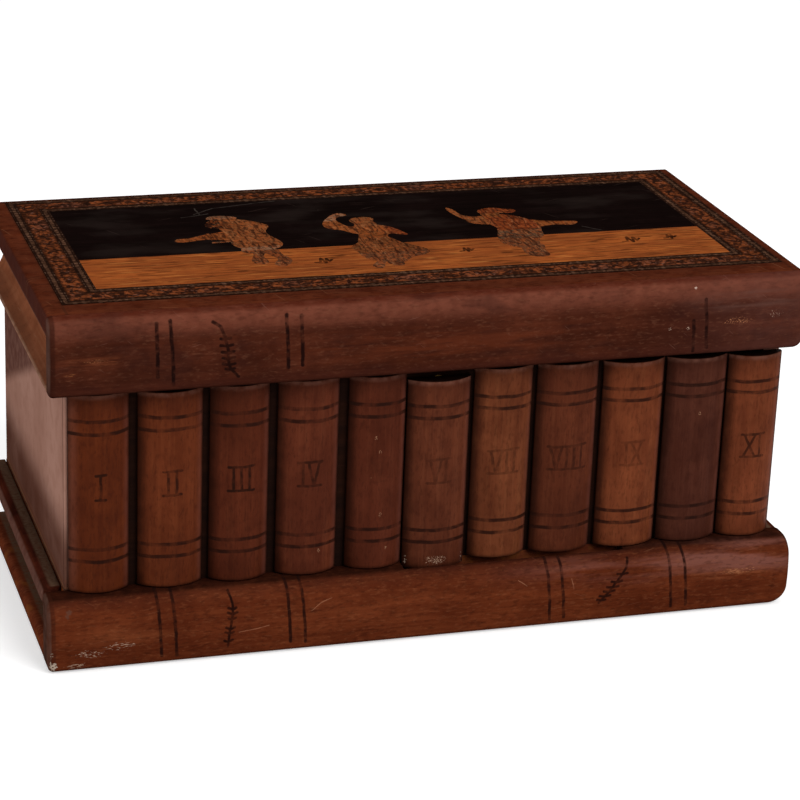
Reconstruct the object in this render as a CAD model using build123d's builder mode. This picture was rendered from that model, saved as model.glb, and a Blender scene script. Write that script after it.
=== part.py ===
from build123d import *

import os

# A wooden keepsake box made to look like a row of upright books standing
# between two large books lying flat. The lower lying book is the base, the
# upper one is the lid. X runs along the row, Y from the front to the back,
# Z up. The origin is on the table, under the middle of the box. Millimetres.

os.makedirs("parts", exist_ok=True)

# ---------------------------------------------------------------- dimensions

FRONT = -64.0              # the crest of both lying spines
BACK = 62.1                # the flat back, which the hinge knuckles stand out of
BASE_LEFT = -128.0         # ends of the lower lying book
BASE_RIGHT = 127.2
LID_LEFT = -127.3          # ends of the upper lying book
LID_RIGHT = 124.5
CASE_HALF = 121.1          # half the length of the case between them

COVER_FOOT = 5.5           # top of the base's lower cover
CORE_TOP = 17.8            # top of the base's page block
BASE_TOP = 24.3            # top of the base's upper cover
COVER_BACK = 60.5          # back of the base's lower cover
COVER_ROUND = 2.4          # rounding of the lower cover's edges
STRIP_ROUND = 3.0          # rounding of the upper cover's ends
CORE_COVE = 2.2            # how deep the page block's ends are hollowed

SPINE_REAR = -52.5         # plane where the base's spine meets the page block
SPINE_FOOT = 0.3           # the sliding spine clears the table by this much
SPINE_TOP = 24.6
SPINE_TRAVEL = 55.0        # the spine slides this far to the left
END_ROUND = 1.6            # rounding of the lying spines' ends
BASE_CREST_ROUND = 50.0    # radius of the base spine's belly
LID_CREST_ROUND = 60.0     # radius of the lid spine's belly
CREST_CUT = 0.35           # what those radii take off the profile's front corner

STRIP_IN = 121.5           # inner edge of the strips at the upper cover's ends
STRIP_FRONT = -48.0        # front end of the sliding strip
GAP = 0.3                  # clearance between pieces that move past each other

WALL = 6.0                 # thickness of the case's sides and back
FRONT_WALL = 7.0           # thickness of the case's front
RIM = 93.1                 # top of the case
FRONT_IN = SPINE_REAR + FRONT_WALL
SIDE_IN = CASE_HALF - WALL
BACK_IN = BACK - WALL
PAPER = 0.3                # thickness of the lining paper

BOOK_FOOT = 24.9
BOOK_HEADS = (92.2, 91.5, 92.0, 92.1, 91.8, 88.8, 91.6, 91.5, 90.6, 90.5, 90.0)  # the sixth as it sits
BOOK_CREST = -58.0         # foremost line of the books' rounded backs
BOOK_EDGE = -53.9          # where the rounding meets a book's flat flank
BOOK_SOFT = 0.6            # softening of the books' long edges
BOOKS_LEFT = -120.0        # left flank of the first book
BOOK_WIDTHS = (19.5, 21.0, 19.4, 20.2, 19.1, 21.3, 20.0, 21.2, 21.4, 21.4, 19.1)
BOOK_GAPS = (2.7, 2.2, 2.8, 3.2, 0.5, 1.3, 1.6, 1.8, 1.0, 0.6, 0.0)
TRICK = 5                  # the sixth book slides
TRICK_SAG = 1.9            # it sits this much lower than its neighbours
TRICK_DROP = 15.1          # and can go down this much further

LID_FOOT = 93.5
LID_TOP = 119.5
BOARD_FOOT = 112.5         # underside of the lid's top board
LID_SPINE_REAR = -58.5     # plane where the lid's spine meets the page block
LID_IN_FRONT = -44.0       # inner face of the lid's front rail
LID_IN_SIDE = 113.0        # inner face of the lid's page ends
LEDGE_FRONT = -50.2        # where the strip behind the lid's front rail begins
INLAY = 1.0                # thickness of the lid's inlaid woods
INLAY_HALF = 120.6         # half the length of the inlaid picture and border
INLAY_FRONT = -49.5
INLAY_BACK = 60.9
LINE_WIDTH = 3.2           # width of each checked line of the border
BAND_WIDTH = 6.8           # width of the ornament band between the lines
HORIZON = -6.8             # where the night sky meets the pale ground

HINGE_X = 78.0             # the two hinges stand this far from the middle
HINGE_LENGTH = 26.0
HINGE_Z = 93.3             # height of the hinge pins
KNUCKLE = 1.9              # outer radius of the knuckles
PIN = 0.9                  # radius of the hinge pins
PIN_PLAY = 0.05            # radial play of the lid's knuckle on the pin
LEAF = 1.0                 # thickness of the leaves
LEAF_DEPTH = 5.4
NOTCH = 2.3                # radius of the notch round the knuckles
SCREW = 0.9                # shank radius of the hinge screws
SCREW_HEAD = 1.5
SCREW_LENGTH = 5.0

LOCK_X = 1.25              # the lock stands behind the sixth book
LOCK_HALF = 18.0
LOCK_FOOT = 66.2
LOCK_FRONT = -48.4
LOCK_BACK = -43.9
KEYHOLE_Z = 83.5
KEYHOLE = 1.6              # radius of the keyhole's eye
SELVEDGE = 1.2             # thickness of the lock's top plate
BOLT_HALF = 4.2
BOLT_THICK = 2.2
STRIKE_HALF = 11.0         # half the length of the strike plate

SLOT_HALF = 1.7            # half the width of the slot that guides the sixth book
BOOK_PIN = 1.5             # radius of the brass pin in that slot
BOOK_PIN_Z = 50.0
BOOK_PIN_HEAD = 3.6

KEY_X = 78.0               # left end of the key as it lies
KEY_Y = -39.0
KEY_FLOOR = 7.5            # floor of the key's compartment
KEY_BOX = (74.0, 116.0)
KEY_BOX_BACK = -31.0
KEY_BOX_HEAD = 14.5

GROOVE_FOOT = 8.5          # the spine's battens run in a groove of the page block
GROOVE_HEAD = 13.5
GROOVE_DEPTH = 4.2
BATTENS = ((-70.0, -12.0), (70.0, 122.0))


# ------------------------------------------------------------------- helpers

def block(x0, x1, y0, y1, z0, z1, mode=Mode.ADD):
    """Adds a box between two corners to the part being built."""
    with Locations(((x0 + x1) / 2, (y0 + y1) / 2, (z0 + z1) / 2)):
        Box(x1 - x0, y1 - y0, z1 - z0, mode=mode)


def along_x(radius, x0, x1, y, z, mode=Mode.ADD):
    """Adds a cylinder that runs along X."""
    with Locations(Location(((x0 + x1) / 2, y, z), (0, 90, 0))):
        Cylinder(radius, x1 - x0, mode=mode)


def along_y(radius, x, y0, y1, z, mode=Mode.ADD):
    """Adds a cylinder that runs along Y."""
    with Locations(Location((x, (y0 + y1) / 2, z), (90, 0, 0))):
        Cylinder(radius, y1 - y0, mode=mode)


def ring(half, front, back, width, floor, height):
    """Adds a flat rectangular ring, as the border's lines are."""
    with BuildSketch(Plane.XY.offset(floor)) as outline:
        with Locations((0, (front + back) / 2)):
            Rectangle(2 * half, back - front)
            Rectangle(2 * (half - width), back - front - 2 * width, mode=Mode.SUBTRACT)
    extrude(outline.sketch, amount=height)


def lying_spine(left, right, rear, foot, head, belly, lean, rounds, worn):
    """Adds a lying book's spine: a softly rounded moulding that runs along X.

    belly is the height of its foremost line. lean says how far its foot and
    its head stand back from that line, and rounds gives the radii of foot,
    belly and head. worn is the radius that the foot's corner at the right end
    is rubbed down to.
    """
    peak = FRONT - CREST_CUT
    corners = ((FRONT + lean[0], foot), (peak, belly), (FRONT + lean[1], head))
    with BuildSketch(Plane.YZ.offset(left)) as outline:
        with BuildLine():
            Polyline((rear, foot), *corners, (rear, head), close=True)
        make_face()
        for corner, radius in zip(corners[1:], rounds[1:]):
            fillet(outline.vertices().sort_by_distance((*corner, 0))[0], radius)
    extrude(outline.sketch, amount=right - left)
    bend = worn * (1 - 0.5**0.5)
    with BuildSketch(Plane.XZ.offset(-rear)) as nibble:
        with BuildLine():
            Polyline((right - worn, foot), (right, foot), (right, foot + worn))
            ThreePointArc(
                (right, foot + worn), (right - bend, foot + bend), (right - worn, foot)
            )
        make_face()
    extrude(nibble.sketch, amount=rear - FRONT + 1, mode=Mode.SUBTRACT)
    # one rounding runs along the foot, about the worn corner and up the end
    fillet(edges().filter_by(Axis.X).group_by(Axis.Z)[0].sort_by(Axis.Y)[0], rounds[0])
    rim = faces().sort_by(Axis.X)[0].edges()
    fillet(rim.sort_by(Axis.Y)[:-1], END_ROUND)


def write(piece, label):
    """Labels a finished piece and writes its file."""
    piece.part.label = label
    export_step(piece.part, f"parts/{label}.step")


# ------------------------------------------------------------ the lying book
# below: two covers with a hollow-ended page block between them

with BuildPart() as lower_cover:
    block(BASE_LEFT, BASE_RIGHT, SPINE_REAR, COVER_BACK, 0, COVER_FOOT)
    ends = lower_cover.edges().filter_by(Axis.Y)
    rear = lower_cover.edges().filter_by(Axis.X).group_by(Axis.Y)[-1]
    fillet(ends + rear, COVER_ROUND)
write(lower_cover, "base_lower_cover")

core_mid = (COVER_FOOT + CORE_TOP) / 2
groove_mid = (GROOVE_FOOT + GROOVE_HEAD) / 2
groove_half = (GROOVE_HEAD - GROOVE_FOOT) / 2
with BuildPart() as core:
    with BuildSketch(Plane.XZ.offset(-COVER_BACK)):
        with BuildLine():
            Line((-CASE_HALF, COVER_FOOT), (CASE_HALF, COVER_FOOT))
            ThreePointArc(
                (CASE_HALF, COVER_FOOT),
                (CASE_HALF - CORE_COVE, core_mid),
                (CASE_HALF, CORE_TOP),
            )
            Line((CASE_HALF, CORE_TOP), (-CASE_HALF, CORE_TOP))
            ThreePointArc(
                (-CASE_HALF, CORE_TOP),
                (-CASE_HALF + CORE_COVE, core_mid),
                (-CASE_HALF, COVER_FOOT),
            )
        make_face()
    extrude(amount=COVER_BACK - SPINE_REAR)
    # the undercut groove that the spine's battens slide in
    with BuildSketch(Plane.YZ.offset(-CASE_HALF)):
        with BuildLine():
            Polyline(
                (SPINE_REAR, groove_mid - groove_half + 1),
                (SPINE_REAR + GROOVE_DEPTH, groove_mid - groove_half),
                (SPINE_REAR + GROOVE_DEPTH, groove_mid + groove_half),
                (SPINE_REAR, groove_mid + groove_half - 1),
                close=True,
            )
        make_face()
    extrude(amount=2 * CASE_HALF, mode=Mode.SUBTRACT)
    # the key's compartment, which opens through the groove
    block(
        KEY_BOX[0], KEY_BOX[1], SPINE_REAR, KEY_BOX_BACK, KEY_FLOOR, KEY_BOX_HEAD,
        mode=Mode.SUBTRACT,
    )
write(core, "base_page_block")

strip_mid = (CORE_TOP + BASE_TOP) / 2
with BuildPart() as upper_cover:
    block(-STRIP_IN + GAP, STRIP_IN, SPINE_REAR, BACK, CORE_TOP, BASE_TOP)
    # the dovetail groove for the sliding strip's key
    with BuildSketch(Plane.XZ.offset(-BACK)):
        with BuildLine():
            Polyline(
                (-STRIP_IN + GAP, strip_mid - 1.2),
                (-STRIP_IN + GAP + 3.2, strip_mid - 1.9),
                (-STRIP_IN + GAP + 3.2, strip_mid + 1.9),
                (-STRIP_IN + GAP, strip_mid + 1.2),
                close=True,
            )
        make_face()
    extrude(amount=BACK - SPINE_REAR, mode=Mode.SUBTRACT)
write(upper_cover, "base_upper_cover")

with BuildPart() as right_strip:
    block(STRIP_IN, BASE_RIGHT, SPINE_REAR, BACK, CORE_TOP, BASE_TOP)
    fillet(right_strip.edges().filter_by(Axis.Y).group_by(Axis.X)[-1], STRIP_ROUND)
write(right_strip, "base_strip_right")

with BuildPart() as left_strip:
    block(BASE_LEFT, -STRIP_IN, STRIP_FRONT, BACK, CORE_TOP + 0.1, BASE_TOP)
    fillet(left_strip.edges().filter_by(Axis.Y).group_by(Axis.X)[0], STRIP_ROUND)
write(left_strip, "base_strip_left")

with BuildPart() as strip_key:
    with BuildSketch(Plane.XZ.offset(-BACK + 4)):
        with BuildLine():
            Polyline(
                (-STRIP_IN, strip_mid - 0.95),
                (-STRIP_IN + 3.2, strip_mid - 1.65),
                (-STRIP_IN + 3.2, strip_mid + 1.65),
                (-STRIP_IN, strip_mid + 0.95),
                close=True,
            )
        make_face()
    extrude(amount=BACK - 4 - STRIP_FRONT - 4)
write(strip_key, "base_strip_key")

# the base's spine: a rounded moulding as long as the lying book, relieved
# behind its face under the sixth book and as far to the right as it travels
book_lefts = [
    BOOKS_LEFT + sum(BOOK_WIDTHS[:n]) + sum(BOOK_GAPS[:n]) for n in range(len(BOOK_WIDTHS))
]
trick_left = book_lefts[TRICK]
trick_right = trick_left + BOOK_WIDTHS[TRICK]
trick_foot = BOOK_FOOT - TRICK_SAG
with BuildPart() as base_spine:
    lying_spine(
        BASE_LEFT, BASE_RIGHT, SPINE_REAR, SPINE_FOOT, SPINE_TOP,
        belly=11.0, lean=(1.2, 1.5), rounds=(2.8, BASE_CREST_ROUND, 7.5), worn=6.5,
    )
    block(
        trick_left - GAP, trick_right + SPINE_TRAVEL + GAP,
        BOOK_CREST - GAP - 0.1, SPINE_REAR,
        trick_foot - TRICK_DROP - GAP, SPINE_TOP + 1,
        mode=Mode.SUBTRACT,
    )
write(base_spine, "base_spine")

with BuildPart() as battens:
    for left, right in BATTENS:
        with BuildSketch(Plane.YZ.offset(left)):
            with BuildLine():
                Polyline(
                    (SPINE_REAR, groove_mid - groove_half + 1.3),
                    (SPINE_REAR + GROOVE_DEPTH - GAP, groove_mid - groove_half + 0.35),
                    (SPINE_REAR + GROOVE_DEPTH - GAP, groove_mid + groove_half - 0.35),
                    (SPINE_REAR, groove_mid + groove_half - 1.3),
                    close=True,
                )
            make_face()
        extrude(amount=right - left)
write(battens, "base_spine_battens")

# the key, lying flat in its compartment: a ring bow, a shank and a bit
key_z = KEY_FLOOR + 0.1
key_low = Plane.XY.offset(key_z)
with BuildPart() as key:
    with BuildSketch(key_low):
        with Locations((KEY_X + 5.5, KEY_Y)):
            Circle(5.5)
        with Locations((KEY_X + 21.0, KEY_Y)):
            Rectangle(24.0, 2.0)
        with Locations((KEY_X + 29.0, KEY_Y + 3.4)):
            Rectangle(5.0, 5.0)
        with Locations((KEY_X + 29.0, KEY_Y + 5.0)):
            Rectangle(1.2, 2.6, mode=Mode.SUBTRACT)
        with Locations((KEY_X + 5.5, KEY_Y)):
            Circle(3.3, mode=Mode.SUBTRACT)
    extrude(amount=1.8)
write(key, "key")

# -------------------------------------------------------------------- the case

with BuildPart() as case_left:
    block(-CASE_HALF, -SIDE_IN, SPINE_REAR, BACK, BASE_TOP, RIM)
    fillet(case_left.edges().filter_by(Axis.Z).sort_by(Axis.X)[:2].sort_by(Axis.Y)[0], 1.0)
write(case_left, "case_side_left")

with BuildPart() as case_right:
    block(SIDE_IN, CASE_HALF, SPINE_REAR, BACK, BASE_TOP, RIM)
    fillet(case_right.edges().filter_by(Axis.Z).sort_by(Axis.X)[-2:].sort_by(Axis.Y)[0], 1.0)
write(case_right, "case_side_right")

slot_low = BOOK_PIN_Z - TRICK_DROP - SLOT_HALF
slot_high = BOOK_PIN_Z + TRICK_SAG + SLOT_HALF
with BuildPart() as case_front:
    block(-SIDE_IN, SIDE_IN, SPINE_REAR, FRONT_IN, BASE_TOP, RIM)
    # the slot for the sixth book's pin, wider at the back for the pin's head
    block(
        LOCK_X - SLOT_HALF, LOCK_X + SLOT_HALF, SPINE_REAR, FRONT_IN, slot_low, slot_high,
        mode=Mode.SUBTRACT,
    )
    block(
        LOCK_X - BOOK_PIN_HEAD - 0.6, LOCK_X + BOOK_PIN_HEAD + 0.6,
        FRONT_IN - 2.2, FRONT_IN,
        slot_low - 2.6, slot_high + 2.6,
        mode=Mode.SUBTRACT,
    )
    # the bed of the lock and of its top plate
    block(
        LOCK_X - LOCK_HALF - 0.2, LOCK_X + LOCK_HALF + 0.2,
        LOCK_FRONT, FRONT_IN, LOCK_FOOT, RIM,
        mode=Mode.SUBTRACT,
    )
    block(
        LOCK_X - LOCK_HALF - 4.2, LOCK_X + LOCK_HALF + 4.2,
        LOCK_FRONT - 2.2, FRONT_IN, RIM - SELVEDGE, RIM,
        mode=Mode.SUBTRACT,
    )
    # the keyhole and the bed of its plate
    along_y(KEYHOLE, LOCK_X, SPINE_REAR, FRONT_IN, KEYHOLE_Z, mode=Mode.SUBTRACT)
    block(
        LOCK_X - 0.8, LOCK_X + 0.8, SPINE_REAR, FRONT_IN, KEYHOLE_Z - 5, KEYHOLE_Z,
        mode=Mode.SUBTRACT,
    )
    with BuildSketch(Plane.XZ.offset(-SPINE_REAR)):
        with Locations((LOCK_X, KEYHOLE_Z - 1)):
            Ellipse(4.5, 6.5)
    extrude(amount=-0.8, mode=Mode.SUBTRACT)
write(case_front, "case_front")

with BuildPart() as escutcheon:
    with BuildSketch(Plane.XZ.offset(-SPINE_REAR)):
        with Locations((LOCK_X, KEYHOLE_Z - 1)):
            Ellipse(4.5, 6.5)
        with Locations((LOCK_X, KEYHOLE_Z)):
            Circle(KEYHOLE, mode=Mode.SUBTRACT)
        with Locations((LOCK_X, KEYHOLE_Z - 2.5)):
            Rectangle(1.6, 5.0, mode=Mode.SUBTRACT)
    extrude(amount=-0.8)
write(escutcheon, "keyhole_plate")


def screws(y, z, up):
    """Adds the four screws of one side of both hinges, heads towards the joint."""
    turn = (0, 0, 0) if up else (180, 0, 0)
    for middle in (-HINGE_X, HINGE_X):
        for step in (-8.5, 8.5):
            with Locations(Location((middle + step, y, z), turn)):
                Cylinder(
                    SCREW, SCREW_LENGTH, align=(Align.CENTER, Align.CENTER, Align.MIN)
                )
                Cone(
                    SCREW_HEAD, SCREW, SCREW_HEAD - SCREW,
                    align=(Align.CENTER, Align.CENTER, Align.MIN),
                )


leaf_case_z = RIM - LEAF
leaf_lid_z = LID_FOOT + LEAF
screw_y = BACK - LEAF_DEPTH / 2 - 1.0
with BuildPart() as case_screws:
    screws(screw_y, RIM, up=False)
write(case_screws, "hinge_screws_case")

with BuildPart() as lid_screws:
    screws(screw_y, LID_FOOT, up=True)
write(lid_screws, "hinge_screws_lid")

with BuildPart() as case_back:
    block(-SIDE_IN, SIDE_IN, BACK_IN, BACK, BASE_TOP, RIM)
    for middle in (-HINGE_X, HINGE_X):
        half = HINGE_LENGTH / 2 + 0.2
        block(
            middle - half, middle + half, BACK - LEAF_DEPTH, BACK, leaf_case_z, RIM,
            mode=Mode.SUBTRACT,
        )
        along_x(NOTCH, middle - half, middle + half, BACK, HINGE_Z, mode=Mode.SUBTRACT)
    add(case_screws.part, mode=Mode.SUBTRACT)
write(case_back, "case_back")


def leaves(y0, y1, z0, z1, own, inner):
    """Adds one side of both hinges: a flat leaf and its share of the knuckle.

    own is the half length of the middle knuckle when inner is true, else the
    half length of the space that the outer knuckles leave between them.
    """
    for middle in (-HINGE_X, HINGE_X):
        half = HINGE_LENGTH / 2
        spans = [(-own, own)] if inner else [(-half, -own), (own, half)]
        block(middle - half, middle + half, y0, y1 - KNUCKLE - GAP, z0, z1)
        for low, high in spans:
            block(middle + low, middle + high, y1 - KNUCKLE - GAP - 1, y1, z0, z1)
            along_x(KNUCKLE, middle + low, middle + high, BACK, HINGE_Z)
        bore = PIN + PIN_PLAY if inner else PIN
        along_x(bore, middle - half - 1, middle + half + 1, BACK, HINGE_Z, mode=Mode.SUBTRACT)


with BuildPart() as case_leaves:
    leaves(BACK - LEAF_DEPTH, BACK, leaf_case_z, RIM, own=4.9, inner=False)
    add(case_screws.part, mode=Mode.SUBTRACT)
write(case_leaves, "hinge_leaves_case")

with BuildPart() as lid_leaves:
    leaves(BACK - LEAF_DEPTH, BACK, LID_FOOT, leaf_lid_z, own=4.6, inner=True)
    add(lid_screws.part, mode=Mode.SUBTRACT)
write(lid_leaves, "hinge_leaves_lid")

with BuildPart() as hinge_pins:
    for middle in (-HINGE_X, HINGE_X):
        along_x(PIN, middle - HINGE_LENGTH / 2, middle + HINGE_LENGTH / 2, BACK, HINGE_Z)
write(hinge_pins, "hinge_pins")

bolt_front = LOCK_FRONT + 0.9
with BuildPart() as lock:
    block(
        LOCK_X - LOCK_HALF, LOCK_X + LOCK_HALF, LOCK_FRONT, LOCK_BACK,
        LOCK_FOOT, RIM - SELVEDGE,
    )
    block(
        LOCK_X - LOCK_HALF - 4, LOCK_X + LOCK_HALF + 4, LOCK_FRONT - 2, LOCK_BACK,
        RIM - SELVEDGE, RIM,
    )
    # the channel that the bolt runs in, and the way in for the key
    block(
        LOCK_X - BOLT_HALF - 0.2, LOCK_X + BOLT_HALF + 0.2,
        bolt_front - 0.2, bolt_front + BOLT_THICK + 0.2,
        KEYHOLE_Z - 6, RIM,
        mode=Mode.SUBTRACT,
    )
    along_y(KEYHOLE, LOCK_X, LOCK_FRONT, bolt_front, KEYHOLE_Z, mode=Mode.SUBTRACT)
write(lock, "lock_case")

with BuildPart() as bolt:
    block(
        LOCK_X - BOLT_HALF, LOCK_X + BOLT_HALF, bolt_front, bolt_front + BOLT_THICK,
        KEYHOLE_Z - 1.5, RIM - 0.2,
    )
write(bolt, "lock_bolt")

with BuildPart() as floor_paper:
    block(-SIDE_IN, SIDE_IN, FRONT_IN, BACK_IN, BASE_TOP, BASE_TOP + PAPER)
write(floor_paper, "lining_floor")

with BuildPart() as wall_paper:
    block(-SIDE_IN, SIDE_IN, FRONT_IN, BACK_IN, BASE_TOP + PAPER, RIM - 0.4)
    block(
        -SIDE_IN + PAPER, SIDE_IN - PAPER, FRONT_IN + PAPER, BACK_IN - PAPER,
        BASE_TOP, RIM,
        mode=Mode.SUBTRACT,
    )
    block(
        LOCK_X - LOCK_HALF - 4.2, LOCK_X + LOCK_HALF + 4.2, FRONT_IN - 1, FRONT_IN + 1,
        LOCK_FOOT - 0.2, RIM,
        mode=Mode.SUBTRACT,
    )
write(wall_paper, "lining_walls")

# ------------------------------------------------------------- the row of books


def upright(left, width, foot, head):
    """Adds one upright book back: rounded in front, flat behind."""
    with BuildSketch(Plane.XY.offset(foot)) as outline:
        with BuildLine():
            Line((left, SPINE_REAR), (left, BOOK_EDGE))
            ThreePointArc(
                (left, BOOK_EDGE),
                (left + width / 2, BOOK_CREST),
                (left + width, BOOK_EDGE),
            )
            Line((left + width, BOOK_EDGE), (left + width, SPINE_REAR))
            Line((left + width, SPINE_REAR), (left, SPINE_REAR))
        make_face()
        fillet(outline.vertices().group_by(Axis.Y)[0], BOOK_SOFT)
    extrude(outline.sketch, amount=head - foot)


for number, (left, width) in enumerate(zip(book_lefts, BOOK_WIDTHS)):
    if number == TRICK:
        continue
    with BuildPart() as book:
        upright(left, width, BOOK_FOOT, BOOK_HEADS[number])
    write(book, f"book_{number + 1:02d}")

with BuildPart() as trick_book:
    upright(trick_left, BOOK_WIDTHS[TRICK], trick_foot, BOOK_HEADS[TRICK])
    along_y(BOOK_PIN, LOCK_X, SPINE_REAR - 3, SPINE_REAR, BOOK_PIN_Z, mode=Mode.SUBTRACT)
write(trick_book, "book_06")

with BuildPart() as book_pin:
    along_y(BOOK_PIN, LOCK_X, SPINE_REAR - 3, FRONT_IN - 2, BOOK_PIN_Z)
    along_y(BOOK_PIN_HEAD, LOCK_X, FRONT_IN - 2, FRONT_IN - 0.6, BOOK_PIN_Z)
write(book_pin, "book_06_pin")

# ---------------------------------------------------------------------- the lid

with BuildPart() as lid_spine:
    lying_spine(
        LID_LEFT, LID_RIGHT, LID_SPINE_REAR, LID_FOOT, LID_TOP,
        belly=105.0, lean=(1.2, 1.0), rounds=(2.4, LID_CREST_ROUND, 3.9), worn=3.5,
    )
write(lid_spine, "lid_spine")

with BuildPart() as lid_board:
    block(LID_LEFT, LID_RIGHT, LID_SPINE_REAR, BACK, BOARD_FOOT, LID_TOP)
    fillet(lid_board.edges().filter_by(Axis.Y).group_by(Axis.Z)[-1], 1.6)
    fillet(lid_board.edges().filter_by(Axis.Y).group_by(Axis.Z)[0], 0.8)
    block(
        -INLAY_HALF, INLAY_HALF, INLAY_FRONT, INLAY_BACK, LID_TOP - INLAY, LID_TOP,
        mode=Mode.SUBTRACT,
    )
write(lid_board, "lid_top_board")


def page_end(side, end):
    """Adds a page end of the lid: hollow outside, flaring to a thin lip below."""
    foot, lip, head = end - side * 0.6, end - side * 0.5, end - side * 2.4
    with BuildSketch(Plane.XZ.offset(-BACK)) as outline:
        with BuildLine():
            Line((side * LID_IN_SIDE, LID_FOOT), (foot, LID_FOOT))
            Line((foot, LID_FOOT), (lip, 94.3))
            Spline(
                (lip, 94.3),
                (end - side * 4.6, 97.6),
                (end - side * 6.3, 101.5),
                (end - side * 6.5, 106.5),
                (head, BOARD_FOOT),
            )
            Line((head, BOARD_FOOT), (side * LID_IN_SIDE, BOARD_FOOT))
            Line((side * LID_IN_SIDE, BOARD_FOOT), (side * LID_IN_SIDE, LID_FOOT))
        make_face()
    extrude(outline.sketch, amount=BACK - LID_SPINE_REAR)


with BuildPart() as page_end_left:
    page_end(-1, LID_LEFT)
write(page_end_left, "lid_page_end_left")

with BuildPart() as page_end_right:
    page_end(1, LID_RIGHT)
write(page_end_right, "lid_page_end_right")

with BuildPart() as front_rail:
    block(-LID_IN_SIDE, LID_IN_SIDE, LID_SPINE_REAR, LEDGE_FRONT, LID_FOOT, BOARD_FOOT)
write(front_rail, "lid_front_rail")

# a strip behind the front rail, in two lengths that leave the bolt's mortise
# between them, with the strike plate let into them from below
with BuildPart() as ledge:
    block(-LID_IN_SIDE, LID_IN_SIDE, LEDGE_FRONT, LID_IN_FRONT, LID_FOOT, BOARD_FOOT)
    block(
        LOCK_X - STRIKE_HALF - 0.2, LOCK_X + STRIKE_HALF + 0.2,
        LEDGE_FRONT, LID_IN_FRONT, LID_FOOT, LID_FOOT + LEAF,
        mode=Mode.SUBTRACT,
    )
    block(
        LOCK_X - BOLT_HALF - 0.8, LOCK_X + BOLT_HALF + 0.8,
        LEDGE_FRONT, LID_IN_FRONT, LID_FOOT, BOARD_FOOT,
        mode=Mode.SUBTRACT,
    )
write(ledge, "lid_lock_ledge")

with BuildPart() as back_rail:
    block(-LID_IN_SIDE, LID_IN_SIDE, BACK_IN, BACK, LID_FOOT, BOARD_FOOT)
    for middle in (-HINGE_X, HINGE_X):
        half = HINGE_LENGTH / 2 + 0.2
        block(
            middle - half, middle + half, BACK - LEAF_DEPTH, BACK, LID_FOOT, leaf_lid_z,
            mode=Mode.SUBTRACT,
        )
        along_x(NOTCH, middle - half, middle + half, BACK, HINGE_Z, mode=Mode.SUBTRACT)
    add(lid_screws.part, mode=Mode.SUBTRACT)
write(back_rail, "lid_back_rail")

with BuildPart() as strike:
    block(
        LOCK_X - STRIKE_HALF, LOCK_X + STRIKE_HALF, LEDGE_FRONT + 0.2, LID_IN_FRONT,
        LID_FOOT, LID_FOOT + LEAF,
    )
    block(
        LOCK_X - BOLT_HALF - 0.6, LOCK_X + BOLT_HALF + 0.6,
        bolt_front - 1.6, bolt_front + BOLT_THICK + 0.5,
        LID_FOOT, LID_FOOT + LEAF,
        mode=Mode.SUBTRACT,
    )
write(strike, "lid_strike_plate")

with BuildPart() as lid_paper:
    block(-LID_IN_SIDE, LID_IN_SIDE, LID_IN_FRONT, BACK_IN, BOARD_FOOT - PAPER, BOARD_FOOT)
write(lid_paper, "lining_lid")

# ---------------------------------------------------------- the inlaid picture
# Three dancers on pale ground under a night sky, in a border of three rings.

inlay_floor = LID_TOP - INLAY
with BuildPart() as outer_line:
    ring(INLAY_HALF, INLAY_FRONT, INLAY_BACK, LINE_WIDTH, inlay_floor, INLAY)
write(outer_line, "inlay_line_outer")

step = LINE_WIDTH
with BuildPart() as band:
    ring(
        INLAY_HALF - step, INLAY_FRONT + step, INLAY_BACK - step,
        BAND_WIDTH, inlay_floor, INLAY,
    )
write(band, "inlay_band")

step = LINE_WIDTH + BAND_WIDTH
with BuildPart() as inner_line:
    ring(
        INLAY_HALF - step, INLAY_FRONT + step, INLAY_BACK - step,
        LINE_WIDTH, inlay_floor, INLAY,
    )
write(inner_line, "inlay_line_inner")


def cloth(*points):
    """Adds a patch with a smooth outline through the points."""
    with BuildLine() as outline:
        Spline(*points, periodic=True)
    make_face(outline.edges())


def cut(*points):
    """Adds a straight-sided patch, as a knife cuts it."""
    Polygon(*points, align=None)


with BuildPart() as dancer_left:
    with BuildSketch(Plane.XY.offset(inlay_floor)):
        # face, brimmed hood and long cloak with a ragged hem
        cloth((-55.5, 29), (-58.4, 25), (-58.8, 21), (-56.8, 19.2), (-52, 19.6), (-50.5, 28.6))
        cloth((-57, 30.6), (-55.4, 32.6), (-51.5, 33), (-46.5, 29.6), (-49, 27.6), (-53.4, 28.6))
        cloth((-51.5, 31), (-45, 27.4), (-39.6, 22.6), (-38, 19.4), (-39.6, 15.4), (-40.4, 10),
              (-38.8, 4.4), (-38, -0.6), (-40.2, -4.8), (-44.4, -5.8), (-49, -6.4), (-52.6, -4),
              (-54.8, 3), (-53.4, 8), (-54.4, 15), (-55, 20.6), (-52.6, 26))
        # the arm that reaches forward, its cuff, and a stick under the arm
        cloth((-52, 17.4), (-58.3, 13.9), (-63.5, 12), (-68.4, 9.8), (-72, 9.2), (-72.6, 7),
              (-70.6, 6), (-66, 6.9), (-60, 7.3), (-52, 6))
        cut((-61, 13.9), (-59.7, 14.2), (-59.4, 7), (-60.6, 6.8))
        cut((-61, 4.7), (-53, 5.1), (-53, 3.7), (-61, 3.4))
        # stockings and pointed shoes in a wide stride
        cut((-53, -4), (-53.6, -7.4), (-51.6, -9.6), (-49, -9.2), (-48.4, -5))
        cloth((-51, -7), (-51.2, -13), (-52.6, -17.6), (-51.6, -20.4), (-48.4, -20.8),
              (-47.2, -18), (-47.6, -13), (-46, -6))
        cloth((-46.6, -5), (-45.4, -12), (-43.9, -17.4), (-46, -21.6), (-44.4, -24.6),
              (-40.6, -21.6), (-39.4, -17), (-41, -12), (-42.6, -5))
    extrude(amount=INLAY)
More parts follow.
